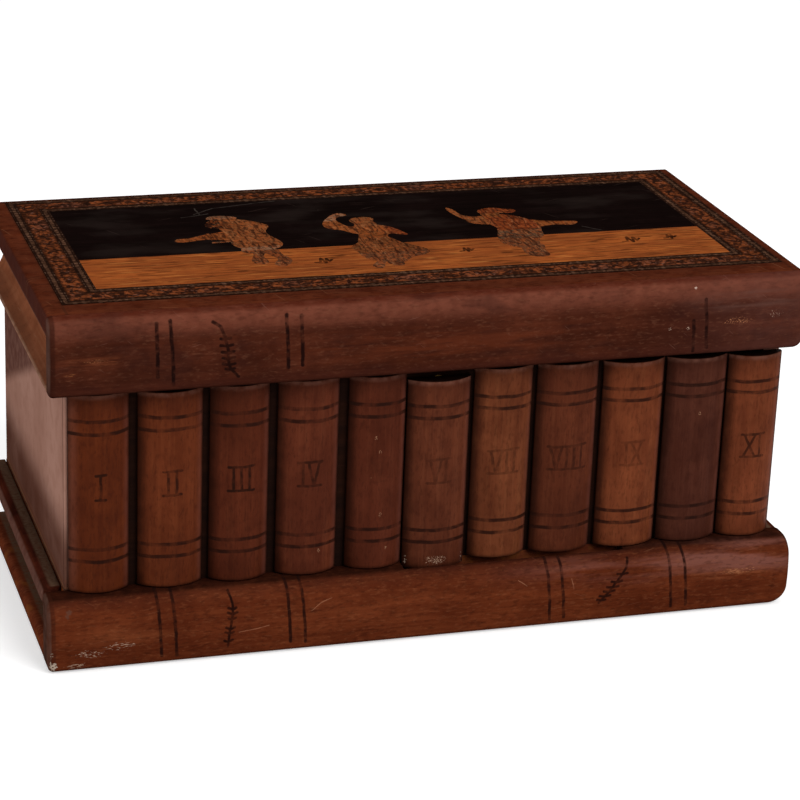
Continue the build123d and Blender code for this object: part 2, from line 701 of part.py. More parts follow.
write(dancer_left, "inlay_dancer_left")

with BuildPart() as dancer_middle:
    with BuildSketch(Plane.XY.offset(inlay_floor)):
        # head with a brimmed hat, and a hooded neck
        cloth((-9.4, 19.6), (-8.2, 22), (-5, 23.4), (-2, 23), (-0.6, 21), (-1.4, 18),
              (-1, 14.4), (-5.6, 12.4), (-9.4, 13.4), (-8.6, 16.4))
        # the arm that is thrown up, and the one held out in a wide sleeve
        cloth((-8.6, 27.2), (-10.6, 29), (-13.4, 27.6), (-16, 24.4), (-18.6, 20), (-19.6, 15.4),
              (-18.6, 12.4), (-14.6, 9.8), (-12.4, 6.6), (-8, 5), (-7.4, 12), (-11.4, 14),
              (-13, 17.6), (-13.6, 21.4), (-12.4, 24.4), (-10.2, 25.4))
        cloth((-3, 15), (1, 12.6), (3.6, 9.2), (5.4, 4.6), (6, 1.6), (3.4, 2.4), (1, 3.6),
              (-1.4, 2.4), (-4, 6))
        # body and wide skirt
        cloth((-10, 12.4), (-4, 14.6), (0, 11), (0, 4), (-1.4, -1), (-1, -5), (-12.4, -5),
              (-11.2, 1.4), (-10.6, 6))
        cloth((-11, 0), (-13, -4), (-16.6, -9.2), (-16, -14), (-15.6, -19), (-13.6, -22.6),
              (-10.6, -23.6), (-8.6, -27), (-5, -27.4), (-2.4, -26), (0.6, -22.4), (4.6, -20.6),
              (8, -17.2), (6.4, -12.4), (3.2, -8.4), (0.6, -4.2), (-2, 1))
        cloth((-13.4, -21), (-12.6, -25), (-15, -30.2), (-13, -32), (-10.2, -27), (-10, -22))
        cloth((-8.6, -25), (-8, -29.4), (-5.4, -30.4), (-4.6, -25))
    extrude(amount=INLAY)
write(dancer_middle, "inlay_dancer_middle")

with BuildPart() as dancer_right:
    with BuildSketch(Plane.XY.offset(inlay_floor)):
        # head in profile under a long cap
        cloth((38.6, 21.8), (37.6, 18.4), (39.2, 15), (42.8, 16), (44.4, 19), (43, 22))
        cloth((37.4, 21.8), (38.4, 24.4), (41.6, 26), (45.2, 25.8), (48.4, 24), (51.2, 22.8),
              (50.6, 20.4), (46.6, 19.6), (43, 20.6), (40, 20.4))
        # both arms stretched out from the shoulders
        cloth((28.4, 28.8), (29.6, 27), (30.3, 22.4), (31.6, 18.8), (35, 17.4), (39.6, 17),
              (42, 12), (39.4, 7.6), (35, 8.2), (31.2, 10.6), (30.2, 14.6), (29, 18), (28, 22.4),
              (27.6, 26.6))
        cloth((50, 13.6), (55, 9.4), (60.5, 7.7), (65.7, 6.9), (68.2, 5.6), (67.2, 3.8),
              (64.6, 2.6), (60.6, 3.6), (55.6, 2.8), (51, 3))
        # doublet, bunched skirt and dark hose
        cloth((38.6, 17), (43, 18.8), (47, 17.4), (51.4, 12.6), (54, 7), (53, 1), (51.6, -3),
              (37.4, -3), (38.4, 3), (37.4, 8), (38.6, 13))
        cloth((38, 2), (36.6, -2.6), (35, -8), (34.8, -13), (37, -17.4), (41, -19.4), (46, -17.6),
              (48.6, -11.6), (51.6, -7), (52.6, -2), (53.6, 2.6), (46, 4))
        cloth((38.4, -15), (39.2, -21), (39.2, -26.6), (41.6, -29.4), (45.8, -29), (46.8, -23),
              (46.8, -15))
    extrude(amount=INLAY)
write(dancer_right, "inlay_dancer_right")

picture_half = INLAY_HALF - 2 * LINE_WIDTH - BAND_WIDTH
picture_front = INLAY_FRONT + 2 * LINE_WIDTH + BAND_WIDTH
picture_back = INLAY_BACK - 2 * LINE_WIDTH - BAND_WIDTH
dancers = (dancer_left.part, dancer_middle.part, dancer_right.part)

with BuildPart() as sky:
    block(-picture_half, picture_half, HORIZON, picture_back, inlay_floor, LID_TOP)
    add(dancers, mode=Mode.SUBTRACT)
write(sky, "inlay_night_sky")

with BuildPart() as ground:
    block(-picture_half, picture_half, picture_front, HORIZON, inlay_floor, LID_TOP)
    add(dancers, mode=Mode.SUBTRACT)
write(ground, "inlay_ground")
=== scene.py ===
"""Looks of a wooden keepsake box made like books, built round its fixed CAD frame.

A row of upright books stands between two large books lying flat. The woods
are stained, varnished and worn, the lid carries an inlaid picture, and the
hinges, the lock and the key are plain old hardware. Sizes and places in the
finishes are millimetres and the meshes are metres, all in the frame's own axes.
A burnt line, a chip or a rubbed patch lies where it does on the real box.
"""

import logging
import math
from dataclasses import dataclass, field
from enum import Enum
from typing import Any, Dict, List, Mapping, Optional, Sequence, Tuple, Union

import bmesh
import bpy
from mathutils import Matrix, Vector


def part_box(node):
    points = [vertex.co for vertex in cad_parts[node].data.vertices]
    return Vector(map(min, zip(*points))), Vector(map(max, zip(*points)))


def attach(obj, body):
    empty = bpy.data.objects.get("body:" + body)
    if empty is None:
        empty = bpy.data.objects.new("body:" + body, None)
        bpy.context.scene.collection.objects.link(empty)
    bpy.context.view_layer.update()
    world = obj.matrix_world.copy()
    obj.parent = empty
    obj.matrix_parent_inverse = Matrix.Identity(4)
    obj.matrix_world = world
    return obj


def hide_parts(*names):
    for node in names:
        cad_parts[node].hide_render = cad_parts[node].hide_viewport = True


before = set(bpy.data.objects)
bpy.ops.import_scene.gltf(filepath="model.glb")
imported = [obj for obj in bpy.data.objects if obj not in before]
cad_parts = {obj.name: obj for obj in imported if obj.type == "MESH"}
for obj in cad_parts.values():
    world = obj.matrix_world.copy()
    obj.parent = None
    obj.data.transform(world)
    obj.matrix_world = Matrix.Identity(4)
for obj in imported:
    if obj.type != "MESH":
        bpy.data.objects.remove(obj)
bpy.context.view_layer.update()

Colour = Tuple[float, float, float, float]
Point2 = Tuple[float, float]
Point3 = Tuple[float, float, float]
Segment = Tuple[Point2, Point2]
Socket = bpy.types.NodeSocket

MM = 0.001
FAR = 500.0                     # beyond every edge of the box, in millimetres
LOG = logging.getLogger("keepsake_box")

# Settings that many nodes share: a soft turn between two levels, and a mix of
# two colours. The first takes the value as input 0, the levels as 1 and 2, and
# what it gives there as 3 and 4, or else zero and one. The second takes the mask
# as 0 and the colours as 6 and 7, and a mix of two numbers takes them as 2 and 3.
SOFT: Dict[str, Any] = {"interpolation_type": "SMOOTHSTEP"}
COLOURS: Dict[str, Any] = {"out": 2, "data_type": "RGBA"}

SEED_SHIFT = (17.3, 5.9, 29.1)  # how far apart two seeds' patterns lie
BURN_DEPTH = 0.05               # depth of a needle's line, in millimetres
SCRATCH_DEPTH = 0.02            # depth of a hairline scratch
FIBRE_HEIGHT = 0.03             # height of a planed wood's fibres


class Way(Enum):
    """The frame's axes, as numbers of a coordinate."""

    X = 0
    Y = 1
    Z = 2


def linear(code: str) -> Colour:
    """Turns an sRGB hex value into the linear colour that a shader takes.

    Args:
        code: Six hex digits with a leading hash.

    Returns:
        Linear red, green and blue, with an alpha of one.
    """
    knee, slope, offset, power = 0.04045, 12.92, 0.055, 2.4
    parts = [int(code[i:i + 2], 16) / 255 for i in (1, 3, 5)]
    red, green, blue = (
        part / slope if part <= knee else ((part + offset) / (1 + offset)) ** power
        for part in parts
    )
    return red, green, blue, 1.0


# ------------------------------------------------------------ material graphs


class Graph:
    """A node tree of a material or of the world."""

    def __init__(self, owner: Union[bpy.types.Material, bpy.types.World]) -> None:
        """Empties the owner's node tree.

        Args:
            owner: What the nodes belong to.
        """
        owner.use_nodes = True
        self.owner = owner
        self.tree = owner.node_tree
        self.tree.nodes.clear()

    def add(
        self,
        kind: str,
        inputs: Mapping[Union[int, str], Any],
        out: Union[int, str] = 0,
        **settings: Any,
    ) -> Socket:
        """Adds one node with its settings, its values and its links.

        Args:
            kind: Blender's name of the node without the leading ShaderNode.
            inputs: A socket to link or a value to set, by the input's name or number.
            out: Name or number of the output that is wanted.
            **settings: Properties of the node.

        Returns:
            The output socket that was asked for.
        """
        node = self.tree.nodes.new("ShaderNode" + kind)
        for name, value in settings.items():
            setattr(node, name, value)
        for name, value in inputs.items():
            if isinstance(value, Socket):
                self.tree.links.new(value, node.inputs[name])
            else:
                node.inputs[name].default_value = value
        return node.outputs[out]

    def end(self, shader: Socket, output: str = "OutputMaterial") -> None:
        """Links the last shader to the tree's output."""
        node = self.tree.nodes.new("ShaderNode" + output)
        self.tree.links.new(shader, node.inputs["Surface"])

    def seen(self) -> Socket:
        """Tells the rays that see the backdrop from those that only light the object.

        Returns:
            One for a ray from the camera, a mirror or a glass, and zero for the rest.
        """
        level = self.add("LightPath", {}, out="Is Camera Ray")
        for name in ("Is Glossy Ray", "Is Transmission Ray"):
            ray = self.add("LightPath", {}, out=name)
            level = self.add("Math", {0: level, 1: ray}, operation="MAXIMUM")
        return level


class Surface(Graph):
    """The nodes of one material, with the piece's coordinates in millimetres."""

    def __init__(self, title: str) -> None:
        """Starts an empty material and reads the Object coordinates.

        Args:
            title: Name of the material.
        """
        super().__init__(bpy.data.materials.new(title))
        place = self.add("TexCoord", {}, out="Object")
        self.point = self.add("VectorMath", {0: place, "Scale": 1 / MM}, operation="SCALE")
        self.along: Dict[Way, Socket] = {
            way: self.add("SeparateXYZ", {0: self.point}, out=way.value) for way in Way
        }

    def clouds(self, size: float, stretch: Point3 = (1, 1, 1), seed: float = 0.0,
               detail: float = 2.0) -> Socket:
        """Gives a soft random pattern from zero to one.

        Args:
            size: Size of a blotch in millimetres.
            stretch: How many times longer a blotch is along X, Y and Z.
            seed: Shift that makes one piece differ from the next.
            detail: How many finer octaves are laid over it.

        Returns:
            The pattern's value.
        """
        scale = tuple(1 / (size * times) for times in stretch)
        shift = tuple(seed * part for part in SEED_SHIFT)
        placed = self.add("Mapping", {0: self.point, "Location": shift, "Scale": scale})
        return self.add(
            "TexNoise", {"Vector": placed, "Scale": 1.0, "Detail": detail, "Roughness": 0.55}
        )

    def away(self, centre: Point3, reach: Point3) -> Socket:
        """Gives the distance from a centre: one on the rim of an ellipsoid.

        Args:
            centre: Middle of the ellipsoid in millimetres.
            reach: Its half sizes along X, Y and Z.

        Returns:
            The distance, as a share of the reach.
        """
        offset = self.add("VectorMath", {0: self.point, 1: centre}, operation="SUBTRACT")
        offset = self.add("VectorMath", {0: offset, 1: reach}, operation="DIVIDE")
        return self.add("VectorMath", {0: offset}, "Value", operation="LENGTH")

    def near(self, gaps: Sequence[Socket], half: float, soft: float,
             strength: float) -> Socket:
        """Covers what lies close to the nearest of several lines.

        Args:
            gaps: Distance to each line in millimetres.
            half: Half the width of a line.
            soft: Width of its soft side.
            strength: How far it covers.

        Returns:
            The mask.
        """
        nearest = gaps[0]
        for gap in gaps[1:]:
            nearest = self.add("Math", {0: nearest, 1: gap}, operation="MINIMUM")
        return self.add(
            "MapRange", {0: nearest, 1: half, 2: half + soft, 3: strength, 4: 0.0}, **SOFT
        )

    def worn(self, mask: Socket, size: float, levels: Point2, patchy: float, seed: float,
             detail: float = 3.0) -> Socket:
        """Breaks a mask up in patches, as wear does.

        Args:
            mask: The whole mask.
            size: Size of a patch in millimetres.
            levels: Levels of the random pattern where wear ends and none is left.
            patchy: How much of the mask is lost in a patch.
            seed: Shift of the pattern.
            detail: How many finer octaves it has.

        Returns:
            The broken mask.
        """
        cloud = self.clouds(size, seed=seed, detail=detail)
        kept = self.add(
            "MapRange", {0: cloud, 1: levels[0], 2: levels[1], 3: 1 - patchy, 4: 1.0}, **SOFT
        )
        return self.add("Math", {0: mask, 1: kept}, operation="MULTIPLY")


@dataclass
class Skin:
    """Colour, roughness and height of a surface while marks are laid on it."""

    graph: Surface
    colour: Socket
    rough: Socket
    height: Socket

    @classmethod
    def bare(cls, graph: Surface, mask: Socket, codes: Tuple[str, str], fibres: Socket,
             rough: Point2, relief: float) -> "Skin":
        """Starts a surface from two colours and from the fibres that texture it.

        Args:
            graph: The material's nodes.
            mask: Zero for the first colour, one for the second.
            codes: The two colours, as sRGB hex values.
            fibres: Pattern that the roughness and the height follow.
            rough: Roughness between the fibres and on them.
            relief: Height of a fibre in millimetres.

        Returns:
            The surface, ready for marks.
        """
        low, high = (linear(code) for code in codes)
        return cls(
            graph,
            graph.add("Mix", {0: mask, 6: low, 7: high}, **COLOURS),
            graph.add("MapRange", {0: fibres, 1: 0.3, 2: 0.7, 3: rough[0], 4: rough[1]}, **SOFT),
            graph.add("Math", {0: fibres, 1: relief}, operation="MULTIPLY"),
        )

    def tint(self, mask: Socket, code: str, rough: Optional[float] = None,
             dent: float = 0.0) -> None:
        """Lays a colour over the surface where the mask says so.

        Args:
            mask: Zero where nothing changes, one where the colour covers.
            code: The colour, as an sRGB hex value.
            rough: Roughness of the mark, if it differs from the ground.
            dent: How deep the mark lies, in millimetres.
        """
        add = self.graph.add
        self.colour = add("Mix", {0: mask, 6: self.colour, 7: linear(code)}, **COLOURS)
        if rough is not None:
            self.rough = add("Mix", {0: mask, 2: self.rough, 3: rough})
        if dent:
            deep = add("Math", {0: mask, 1: dent}, operation="MULTIPLY")
            self.height = add("Math", {0: self.height, 1: deep}, operation="SUBTRACT")

    def close(self, **values: float) -> bpy.types.Material:
        """Ends the material with its shader.

        Args:
            **values: Constants of the shader's own sockets, with _ for each space.

        Returns:
            The finished material.
        """
        constants = {name.replace("_", " "): value for name, value in values.items()}
        add = self.graph.add
        bump = add("Bump", {"Strength": 1.0, "Distance": MM, "Height": self.height})
        ground = {"Base Color": self.colour, "Roughness": self.rough, "Normal": bump}
        self.graph.end(add("BsdfPrincipled", {**ground, **constants}))
        return self.graph.owner


class Mark:
    """Something that age, use or a maker's tool has left on a surface; painted light and shade
    are laid the same way.

    The marks' fields have the same names throughout, and lengths are millimetres.
    Code is the colour, strength how far it covers and patchy how much of it wear
    has taken. A line has half its width, the width of its soft side, and waver for
    how far it strays. A patch has a centre, its reach to each side and the grit
    that breaks it up, stretched along X, Y and Z. Rough is the mark's roughness,
    dent its depth, and seed the shift of its pattern.
    """

    def lay(self, skin: Skin) -> None:
        """Lays the mark on a surface."""
        raise NotImplementedError


@dataclass(frozen=True)
class Lines(Mark):
    """Straight lines or edges across one axis: burnt bars, rubbed edges, grime, painted
    highlights and painted shade.
    """

    way: Way                   # axis that the lines lie across
    places: Tuple[float, ...]  # where on it they lie
    half: float
    code: str
    soft: float = 0.3
    strength: float = 1.0
    patchy: float = 0.5
    waver: float = 0.0
    dent: float = 0.0
    seed: float = 0.0

    def lay(self, skin: Skin) -> None:
        """Draws each line with soft sides, broken up by wear.

        Args:
            skin: The surface so far.
        """
        graph, add = skin.graph, skin.graph.add
        read = graph.along[self.way]
        if self.waver:
            bend = graph.clouds(9.0, seed=self.seed + 3)
            bend = add(
                "Math", {0: bend, 1: 2 * self.waver, 2: -self.waver}, operation="MULTIPLY_ADD"
            )
            read = add("Math", {0: read, 1: bend}, operation="ADD")
        gaps = []
        for place in self.places:
            gap = add("Math", {0: read, 1: place}, operation="SUBTRACT")
            gaps.append(add("Math", {0: gap}, operation="ABSOLUTE"))
        mask = graph.near(gaps, self.half, self.soft, self.strength)
        if self.patchy:
            mask = graph.worn(mask, 5.0, (0.30, 0.62), self.patchy, self.seed)
        skin.tint(mask, self.code, dent=self.dent)


@dataclass(frozen=True)
class Strokes(Mark):
    """Free strokes of a hot needle, drawn as segments on one plane of the frame."""

    plane: Tuple[Way, Way]  # the two axes that they are drawn on
    segments: Tuple[Segment, ...]
    half: float
    code: str
    soft: float = 0.25
    strength: float = 1.0
    patchy: float = 0.3
    waver: float = 0.15
    seed: float = 0.0

    def lay(self, skin: Skin) -> None:
        """Finds the distance to the nearest segment and darkens what is close.

        Args:
            skin: The surface so far.
        """
        graph, add = skin.graph, skin.graph.add
        first, second = (graph.along[way] for way in self.plane)
        flat = add("CombineXYZ", {0: first, 1: second})
        # the needle strays a little
        sway = add("TexNoise", {"Vector": flat, "Scale": 0.25, "Detail": 1.0}, out="Color")
        sway = add("VectorMath", {0: sway, 1: (0.5, 0.5, 0.5)}, operation="SUBTRACT")
        sway = add("VectorMath", {0: sway, "Scale": 4 * self.waver}, operation="SCALE")
        flat = add("VectorMath", {0: flat, 1: sway}, operation="ADD")
        flat = add("VectorMath", {0: flat, 1: (1.0, 1.0, 0.0)}, operation="MULTIPLY")
        # distance to the nearest point of each segment
        gaps = []
        for (x0, y0), (x1, y1) in self.segments:
            run = Vector((x1 - x0, y1 - y0, 0.0))
            share = tuple(run / max(run.length_squared, 1e-9))
            offset = add("VectorMath", {0: flat, 1: (x0, y0, 0.0)}, operation="SUBTRACT")
            part = add("VectorMath", {0: offset, 1: share}, "Value", operation="DOT_PRODUCT")
            part = add("Clamp", {0: part})
            foot = add("VectorMath", {0: tuple(run), "Scale": part}, operation="SCALE")
            gaps.append(add("VectorMath", {0: offset, 1: foot}, "Value", operation="DISTANCE"))
        mask = graph.near(gaps, self.half, self.soft, self.strength)
        if self.patchy:
            mask = graph.worn(mask, 3.0, (0.34, 0.60), self.patchy, self.seed)
        skin.tint(mask, self.code, dent=BURN_DEPTH)


@dataclass(frozen=True)
class Spot(Mark):
    """A patch round a point: rubbed varnish, a bruise, or chips down to the ground."""

    centre: Point3
    reach: Point3
    code: str
    strength: float = 0.8
    grit: float = 3.0
    bite: float = 0.5  # how much of the patch is hit
    rough: Optional[float] = None
    dent: float = 0.0
    stretch: Point3 = (1, 1, 1)
    seed: float = 0.0

    def lay(self, skin: Skin) -> None:
        """Fades an ellipsoid out and breaks it up with a grainy pattern.

        Args:
            skin: The surface so far.
        """
        graph, add = skin.graph, skin.graph.add
        away = graph.away(self.centre, self.reach)
        near = add("MapRange", {0: away, 1: 1.0, 2: 0.2}, **SOFT)
        grains = graph.clouds(self.grit, self.stretch, self.seed, 4.0)
        # the nearer to the centre, the more of the grains show
        level = add("Math", {0: near, 1: 0.5, 2: self.bite - 0.5}, operation="MULTIPLY_ADD")
        level = add("Math", {0: grains, 1: level}, operation="ADD")
        hit = add("MapRange", {0: level, 1: 0.52, 2: 0.62, 4: self.strength}, **SOFT)
        rim = add("MapRange", {0: away, 1: 1.0, 2: 0.85}, **SOFT)
        mask = add("Math", {0: hit, 1: rim}, operation="MULTIPLY")
        skin.tint(mask, self.code, self.rough, self.dent)


@dataclass(frozen=True)
class RubAndSheen(Mark):
    """A soft patch that follows the grain in wisps: varnish thinned by hands, and also a painted
    sheen.
    """

    centre: Point3
    reach: Point3
    code: str
    strength: float = 0.5
    grit: float = 3.0
    seed: float = 0.0

    def lay(self, skin: Skin) -> None:
        """Fades an ellipsoid out slowly and combs it with a drawn-out pattern.

        Args:
            skin: The surface so far.
        """
        graph, add = skin.graph, skin.graph.add
        away = graph.away(self.centre, self.reach)
        near = add("MapRange", {0: away, 1: 1.0, 2: 0.0}, **SOFT)
        wisps = graph.clouds(self.grit, (9, 1, 1), self.seed, 4.0)
        wisps = add("MapRange", {0: wisps, 1: 0.38, 2: 0.68}, **SOFT)
        mask = add("Math", {0: near, 1: wisps}, operation="MULTIPLY")
        # what is over the full strength is cut off, so that the middle is even
        mask = add("Math", {0: mask, 1: self.strength * 1.6}, operation="MULTIPLY")
        mask = add("Math", {0: mask, 1: self.strength}, operation="MINIMUM")
        skin.tint(mask, self.code)


@dataclass(frozen=True)
class Fade(Mark):
    """A colour that grows along one axis, as grime does towards a corner; it also lays painted
    shade and painted highlights.
    """

    way: Way
    start: float        # where it begins
    end: float          # where it is strongest
    code: str
    strength: float = 0.7
    grit: float = 4.0
    patchy: float = 0.5
    rough: Optional[float] = None
    seed: float = 0.0
    slope: float = 0.0  # how far that shifts for each millimetre along Y

    def lay(self, skin: Skin) -> None:
        """Blends the colour in from start to end, uneven with wear.

        Args:
            skin: The surface so far.
        """
        graph, add = skin.graph, skin.graph.add
        place = add(
            "Math", {0: graph.along[Way.Y], 1: self.slope, 2: graph.along[self.way]},
            operation="MULTIPLY_ADD",
        )
        mask = add("MapRange", {0: place, 1: self.start, 2: self.end, 4: self.strength}, **SOFT)
        mask = graph.worn(mask, self.grit, (0.3, 0.65), self.patchy, self.seed, 4.0)
        skin.tint(mask, self.code, self.rough)


@dataclass(frozen=True)
class Mottle(Mark):
    """Small cloudy flecks all over, as in burr wood or in scorched veneer."""

    size: float          # size of a fleck
    code: str
    start: float         # level of the pattern where a fleck begins
    end: float           # level where it is strongest
    strength: float = 0.6
    seed: float = 0.0
    stretch: Point3 = (1, 1, 1)
    detail: float = 3.0  # how many finer octaves it has
    dent: float = 0.0

    def lay(self, skin: Skin) -> None:
        """Cuts the flecks out of a fine pattern.

        Args:
            skin: The surface so far.
        """
        cloud = skin.graph.clouds(self.size, self.stretch, self.seed, self.detail)
        mask = skin.graph.add(
            "MapRange", {0: cloud, 1: self.start, 2: self.end, 4: self.strength}, **SOFT
        )
        skin.tint(mask, self.code, dent=self.dent)


@dataclass(frozen=True)
class Scratches(Mark):
    """Sparse hairline scratches that cross the piece at a few angles."""

    plane: Tuple[Way, Way]     # the two axes that they are drawn on
    angles: Tuple[float, ...]  # their angles on it, in degrees
    code: str
    strength: float = 0.5
    length: float = 22.0
    width: float = 0.28
    sparse: float = 0.70       # level of the pattern above which one shows
    seed: float = 0.0

    def lay(self, skin: Skin) -> None:
        """Cuts thin bands out of a pattern that is drawn out along each angle.

        Args:
            skin: The surface so far.
        """
        graph, add = skin.graph, skin.graph.add
        first, second = (graph.along[way] for way in self.plane)
        flat = add("CombineXYZ", {0: first, 1: second})
        scale = (1 / self.length, 1 / (self.width * 3), 1.0)
        found: Optional[Socket] = None
        for number, angle in enumerate(self.angles):
            turned = add(
                "VectorRotate", {"Vector": flat, "Angle": math.radians(angle)},
                rotation_type="Z_AXIS",
            )
            shift = (self.seed + number * 7.7, number * 3.1, 0.0)
            placed = add("Mapping", {0: turned, "Location": shift, "Scale": scale})
            streak = add("TexNoise", {"Vector": placed, "Scale": 1.0, "Detail": 0.0})
            streak = add("MapRange", {0: streak, 1: self.sparse, 2: self.sparse + 0.05}, **SOFT)
            if found is not None:
                streak = add("Math", {0: found, 1: streak}, operation="MAXIMUM")
            found = streak
        mask = add("Math", {0: found, 1: self.strength}, operation="MULTIPLY")
        skin.tint(mask, self.code, dent=SCRATCH_DEPTH)


@dataclass(frozen=True)
class Specks(Mark):
    """Small round flecks, such as old paint, fly spots or worm holes."""

    spacing: float      # from one place for a fleck to the next
    size: float         # half a fleck's width
    code: str
    strength: float = 0.9
    share: float = 0.3  # share of the places that have one
    dent: float = 0.0
    seed: float = 0.0

    def lay(self, skin: Skin) -> None:
        """Keeps a share of the cells of a random grid and dots their middles.

        Args:
            skin: The surface so far.
        """
        graph, add = skin.graph, skin.graph.add
        shift, scale = (self.seed * 3.3,) * 3, (1 / self.spacing,) * 3
        placed = add("Mapping", {0: graph.point, "Location": shift, "Scale": scale})
        gap = add("TexVoronoi", {"Vector": placed, "Scale": 1.0}, out="Distance")
        # a cell's own random colour settles whether it has a fleck
        chance = add("SeparateXYZ", {0: gap.node.outputs["Color"]})
        half = self.size / self.spacing
        dot = add("MapRange", {0: gap, 1: half, 2: 1.4 * half, 3: 1.0, 4: 0.0}, **SOFT)
        kept = add("Math", {0: chance, 1: self.share}, operation="LESS_THAN")
        mask = add("Math", {0: dot, 1: kept}, operation="MULTIPLY")
        mask = add("Math", {0: mask, 1: self.strength}, operation="MULTIPLY")
        skin.tint(mask, self.code, dent=self.dent)


@dataclass(frozen=True)
class Dust(Mark):
    """Dull dust that lies on what faces up, inside a box."""

    low: Point3       # lowest corner of the space where it lies
    high: Point3      # its highest corner
    code: str = "#5a4435"
    strength: float = 0.95
    rim: float = 0.6  # width of the soft edge of that space

    def lay(self, skin: Skin) -> None:
        """Covers upward faces between the two corners with a soft grey-brown.

        Args:
            skin: The surface so far.
        """
        graph, add = skin.graph, skin.graph.add
        cloud = graph.clouds(1.6, seed=8.0, detail=5.0)
        mask = add("MapRange", {0: cloud, 1: 0.3, 2: 0.6, 3: 0.45, 4: self.strength}, **SOFT)
        up = add("SeparateXYZ", {0: add("NewGeometry", {}, out="Normal")}, out=Way.Z.value)
        # what each reading has to pass: facing up, then inside all six sides
        limits = [(up, 0.35, 0.9)]
        for way, low, high in zip(Way, self.low, self.high):
            for edge, rim in ((low, self.rim), (high, -self.rim)):
                limits.append((graph.along[way], edge - rim, edge + rim))
        for read, start, end in limits:
            inside = add("MapRange", {0: read, 1: start, 2: end}, **SOFT)
            mask = add("Math", {0: mask, 1: inside}, operation="MULTIPLY")
        skin.tint(mask, self.code, rough=0.9)


# ------------------------------------------------------------------- finishes


@dataclass(frozen=True)
class Tone:
    """The colours of one wood, from its late wood to its early wood."""

    deep: str
    middle: str
    pale: str
    pore: str = "#1c0d07"


@dataclass(frozen=True)
class Wood:
    """Sawn and planed wood, stained or bare, under a thin worn varnish.

    The eye reads it from growth lines that run with the board, from fine
    fibres and short dark pores, and from a varnish that is neither dull nor
    glossy. Real fibres and pores are a tenth of a millimetre wide, and are
    drawn some four times coarser so that they show.
    """

    title: str
    tone: Tone
    grain: Way = Way.X             # the way that the board's grain runs
    seed: float = 0.0              # shift that makes one board differ from the next
    figure: float = 7.0            # width of a growth line, in millimetres
    fibre: float = 0.45            # width of a fibre
    contrast: float = 0.6          # how far late wood covers early wood
    rough: float = 0.5             # roughness of the varnish
    sheen: Point2 = (0.07, -0.05)  # change of it between the fibres and on them
    specular: float = 0.05         # level of its reflection
    streak: float = 0.35           # how far pale fibres cover
    pores: float = 0.35            # how far pores cover
    board: float = 11.0            # how many times longer than wide a growth line is
    thread: float = 40.0           # the same for a fibre
    rings: float = 40.0            # how closely one ring follows the next
    marks: Tuple[Mark, ...] = ()   # what lies on the wood, lowest first

    def drawn_out(self, times: float) -> Point3:
        """Gives the stretch of a pattern that is so many times longer along the grain."""
        x, y, z = (times if way is self.grain else 1.0 for way in Way)
        return x, y, z

    def build(self) -> bpy.types.Material:
        """Makes the material.

        Returns:
            The finished material.
        """
        graph, tone = Surface(self.title), self.tone
        add = graph.add
        # growth lines: a broad pattern whose levels are read as rings
        rings = graph.clouds(self.figure * 3, self.drawn_out(self.board), self.seed)
        rings = add("Math", {0: rings, 1: self.rings}, operation="MULTIPLY")
        rings = add("Math", {0: rings}, operation="SINE")
        rings = add("MapRange", {0: rings, 1: -1.0, 2: 1.0, 4: self.contrast}, **SOFT)
        # fibres: long fine threads, paler and a little smoother than what is between
        fibres = graph.clouds(self.fibre * 2, self.drawn_out(self.thread), self.seed + 1, 3.0)
        codes = (tone.middle, tone.deep)
        rough = (self.rough + self.sheen[0], self.rough + self.sheen[1])
        skin = Skin.bare(graph, rings, codes, fibres, rough, FIBRE_HEIGHT)
        lift = add("MapRange", {0: fibres, 1: 0.42, 2: 0.72, 4: self.streak}, **SOFT)
        skin.tint(lift, tone.pale)
        # broad and small clouds of darker stain, then pores as short dashes
        dashes = self.drawn_out(self.board ** 0.75)
        for mark in (
            Mottle(26.0, tone.deep, 0.36, 0.68, 0.5, self.seed + 2, detail=2.0),
            Mottle(5.0, tone.deep, 0.44, 0.66, 0.35, self.seed + 3, detail=4.0),
            Mottle(0.55, tone.pore, 0.66, 0.74, self.pores, self.seed + 4, dashes, 1.0, 0.04),
        ) + self.marks:
            mark.lay(skin)
        return skin.close(Specular_IOR_Level=self.specular)


@dataclass(frozen=True)
class Metal:
    """Old hardware: drawn or cast metal that has dulled and darkened.

    The tarnish sits in soft clouds, and where a hand or another piece rubs,
    the bright metal comes through.
    """

    title: str
    bright: str         # colour where it is rubbed
    dull: str           # colour of the tarnish
    rough: float = 0.38
    cloud: float = 3.0  # size of a cloud of tarnish, in millimetres
    seed: float = 0.0

    def build(self) -> bpy.types.Material:
        """Makes the material.

        Returns:
            The finished material.
        """
        graph = Surface(self.title)
        add = graph.add
        cloud = graph.clouds(self.cloud, seed=self.seed, detail=5.0)
        mask = add("MapRange", {0: cloud, 1: 0.38, 2: 0.62, 3: 0.1, 4: 0.9}, **SOFT)
        dulled = {0: cloud, 1: 0.35, 2: 0.65, 3: self.rough, 4: self.rough + 0.25}
        strokes = graph.clouds(0.35, (1, 6, 1), self.seed + 1)
        return Skin(
            graph,
            add("Mix", {0: mask, 6: linear(self.bright), 7: linear(self.dull)}, **COLOURS),
            add("MapRange", dulled, **SOFT),
            add("Math", {0: strokes, 1: 0.015}, operation="MULTIPLY"),
        ).close(Metallic=1.0)


